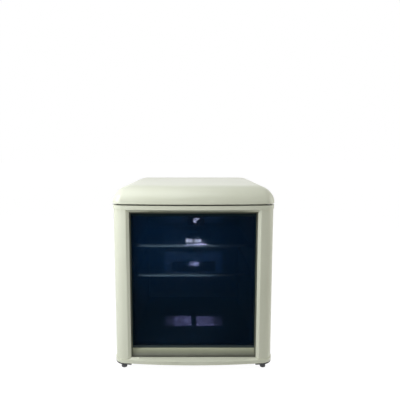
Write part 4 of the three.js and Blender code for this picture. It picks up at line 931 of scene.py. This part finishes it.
class FRIDGE_OT_cavity(bpy.types.Operator):
    """Make the moulded cavity, its shelves, duct cover and lamp"""

    bl_idname = "mini_fridge.cavity"
    bl_label = "Cavity"

    # How much the glass of the shelves covers on its underside and on top.
    underside_cover = {"upper": 0.85, "lower": 0.12}
    top_cover = 0.10
    # The lit patches on the floor: each one's share of the power and its width.
    patches = ((0.24, 0.085), (0.49, 0.057))
    patch_length, patch_gap, patch_y, patch_z = 0.078, 0.008, -0.035, 0.235
    patch_tone = (1.0, 0.48, 0.72)
    wash_tone = (0.72, 0.66, 1.0)
    gleam_tone = (0.60, 0.66, 1.0)
    daylight_tone = (0.60, 0.82, 1.0)

    def execute(self, context):
        cavity = settings().cavity
        liner = moulded("Liner plastic", cavity.liner, 0.28, 0.00001, coat_weight=0.2)
        grille = moulded("Grille plastic", (0.012, 0.013, 0.016), 0.4)
        # The duct cover's pale blue is painted light on it.
        cover = moulded("Duct cover plastic", cavity.cover, 0.34, 0.00001)
        for node in ("breaker_strip", "inner_liner"):
            soften(node, liner, SOFT)
        soften("duct_cover", cover, SOFT)
        for node in ("outlet_louvre", "lamp_housing"):
            soften(node, grille, PLAIN)
        self.make_shelves()
        self.make_lamp(context, cavity)
        return {"FINISHED"}

    def make_shelves(self):
        for level, underside in self.underside_cover.items():
            low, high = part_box(f"{level}_shelf_glass")
            glass = shelf_pane(
                f"{level.capitalize()} shelf glass", settings().glazing.shelf_tint,
                (low.z, underside), (high.z, self.top_cover),
            )
            soften(f"{level}_shelf_glass", glass, PLAIN)
            for side in ("front", "rear"):
                node = f"{level}_shelf_{side}_trim"
                # Each trim gets a painted highlight along its lower front edge.
                trim = metal_with_painted_highlight(f"{level} {side} trim metal".capitalize(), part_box(node)[0])
                soften(node, trim, BLUNT, segments=3)

    def make_lamp(self, context, cavity):
        """Lit lenses, and the light that they and the room would throw in the cavity."""
        lens = glowing("Lamp lens", cavity.lamp, cavity.lamp_strength)
        down, rearward, slanting = 0.0, 90.0, 34.0
        for side, name in ((-1, "left"), (1, "right")):
            dress(f"lamp_lens_{name}", lens)
            for share, width in self.patches:
                self.make_beam(
                    context, f"Lamp beam {name}",
                    (side * (self.patch_gap + width / 2), self.patch_y, self.patch_z),
                    down, (width, self.patch_length), 1.5, share * cavity.beam, self.patch_tone,
                )
        low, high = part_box("upper_shelf_front_trim")
        self.make_beam(
            context, "Lamp wash", (-0.001, low.y - 0.019, high.z + 0.028),
            slanting, (0.120, 0.003), 5.0, cavity.wash, self.wash_tone,
        )
        self.make_beam(
            context, "Louvre gleam", (0.002, 0.10, 0.199),
            rearward, (0.034, 0.016), 8.0, cavity.gleam, self.gleam_tone,
        )
        low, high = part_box("inner_glass")
        self.make_beam(
            context, "Light through the door", (-0.05, high.y + 0.006, (low.z + high.z) / 2),
            rearward, (0.20, 0.36), 160.0, cavity.daylight, self.daylight_tone,
        )

    def make_beam(self, context, name, place, tilt, size, spread, energy, tone):
        """A small lamp that isn't seen, nor mirrored. Tilt and spread are in degrees."""
        lamp = bpy.data.lights.new(name, "AREA")
        lamp.shape = "RECTANGLE"
        lamp.size, lamp.size_y = size
        lamp.spread = math.radians(spread)
        lamp.energy = energy
        lamp.color = tone
        beam = bpy.data.objects.new(name, lamp)
        beam.location = place
        beam.rotation_euler = (math.radians(tilt), 0.0, 0.0)
        beam.visible_camera = False
        beam.visible_glossy = False
        context.scene.collection.objects.link(beam)


class FRIDGE_OT_cooling(bpy.types.Operator):
    """Make the fans, heat sinks, rear cover, mains inlet and circuit board"""

    bl_idname = "mini_fridge.cooling"
    bl_label = "Cooling unit"

    def execute(self, context):
        black = moulded("Cover plastic", (0.022, 0.023, 0.026), 0.5, 0.00004)
        blade = moulded("Blade plastic", (0.016, 0.017, 0.020), 0.32, 0.00001)
        fins = brushed("Extruded aluminium", (0.60, 0.61, 0.62), 0.38)
        for node in ("rear_cover", "power_inlet", "inner_fan_frame", "outer_fan_frame"):
            soften(node, black, PLAIN)
        for node in ("inner_fan_rotor", "outer_fan_rotor"):
            soften(node, blade, HAIR)
        for node in ("cold_sink", "hot_sink"):
            dress(node, fins)
        dress("peltier_module", ceramic("Plate ceramic"))
        dress("control_board", board("Lacquered board"))
        return {"FINISHED"}


class FRIDGE_OT_hardware(bpy.types.Operator):
    """Make the hinge plates, pins, screws and feet"""

    bl_idname = "mini_fridge.hardware"
    bl_label = "Hinges and feet"

    def execute(self, context):
        plate = moulded("Plate paint", (0.030, 0.031, 0.034), 0.45, 0.00002)
        bright = brushed("Bright steel", (0.60, 0.60, 0.61), 0.3)
        sole = rubber("Foot rubber", (0.19, 0.19, 0.20), 0.7)
        for node in ("top_hinge_plate", "bottom_hinge_plate", "foot_plate_left"):
            soften(node, plate, SOFT)
        for node in frame["nodes"]:
            if "screw" in node or node.endswith("hinge_pin"):
                soften(node, bright, HAIR)
            elif "foot_left" in node or "foot_right" in node:
                soften(node, sole, FULL)
        return {"FINISHED"}


class FRIDGE_PT_panel(bpy.types.Panel):
    """Lists the refrigerator's pieces"""

    bl_idname = "FRIDGE_PT_panel"
    bl_label = "Mini fridge"
    bl_space_type = "VIEW_3D"
    bl_region_type = "UI"
    bl_category = "Mini fridge"

    def draw(self, context):
        for group in ("enamel", "glazing", "cavity", "display", "studio"):
            box = self.layout.box()
            box.label(text=group.capitalize())
            values = getattr(settings(), group)
            for name in values.__annotations__:
                box.prop(values, name)
        for operator in OPERATORS:
            self.layout.operator(operator.bl_idname)


GROUPS = (
    EnamelSettings, GlazingSettings, CavitySettings, DisplaySettings, StudioSettings,
    MiniFridgeSettings,
)
OPERATORS = (
    FRIDGE_OT_stage, FRIDGE_OT_lid, FRIDGE_OT_cabinet, FRIDGE_OT_door_frame, FRIDGE_OT_glazing,
    FRIDGE_OT_display, FRIDGE_OT_cavity, FRIDGE_OT_cooling, FRIDGE_OT_hardware,
)


def register():
    for thing in (*GROUPS, *OPERATORS, FRIDGE_PT_panel):
        bpy.utils.register_class(thing)
    bpy.types.Scene.mini_fridge = PointerProperty(type=MiniFridgeSettings)


def unregister():
    del bpy.types.Scene.mini_fridge
    for thing in reversed((*GROUPS, *OPERATORS, FRIDGE_PT_panel)):
        bpy.utils.unregister_class(thing)


def main():
    register()
    for operator in OPERATORS:
        group, name = operator.bl_idname.split(".")
        getattr(getattr(bpy.ops, group), name)()


if __name__ == "__main__":
    main()
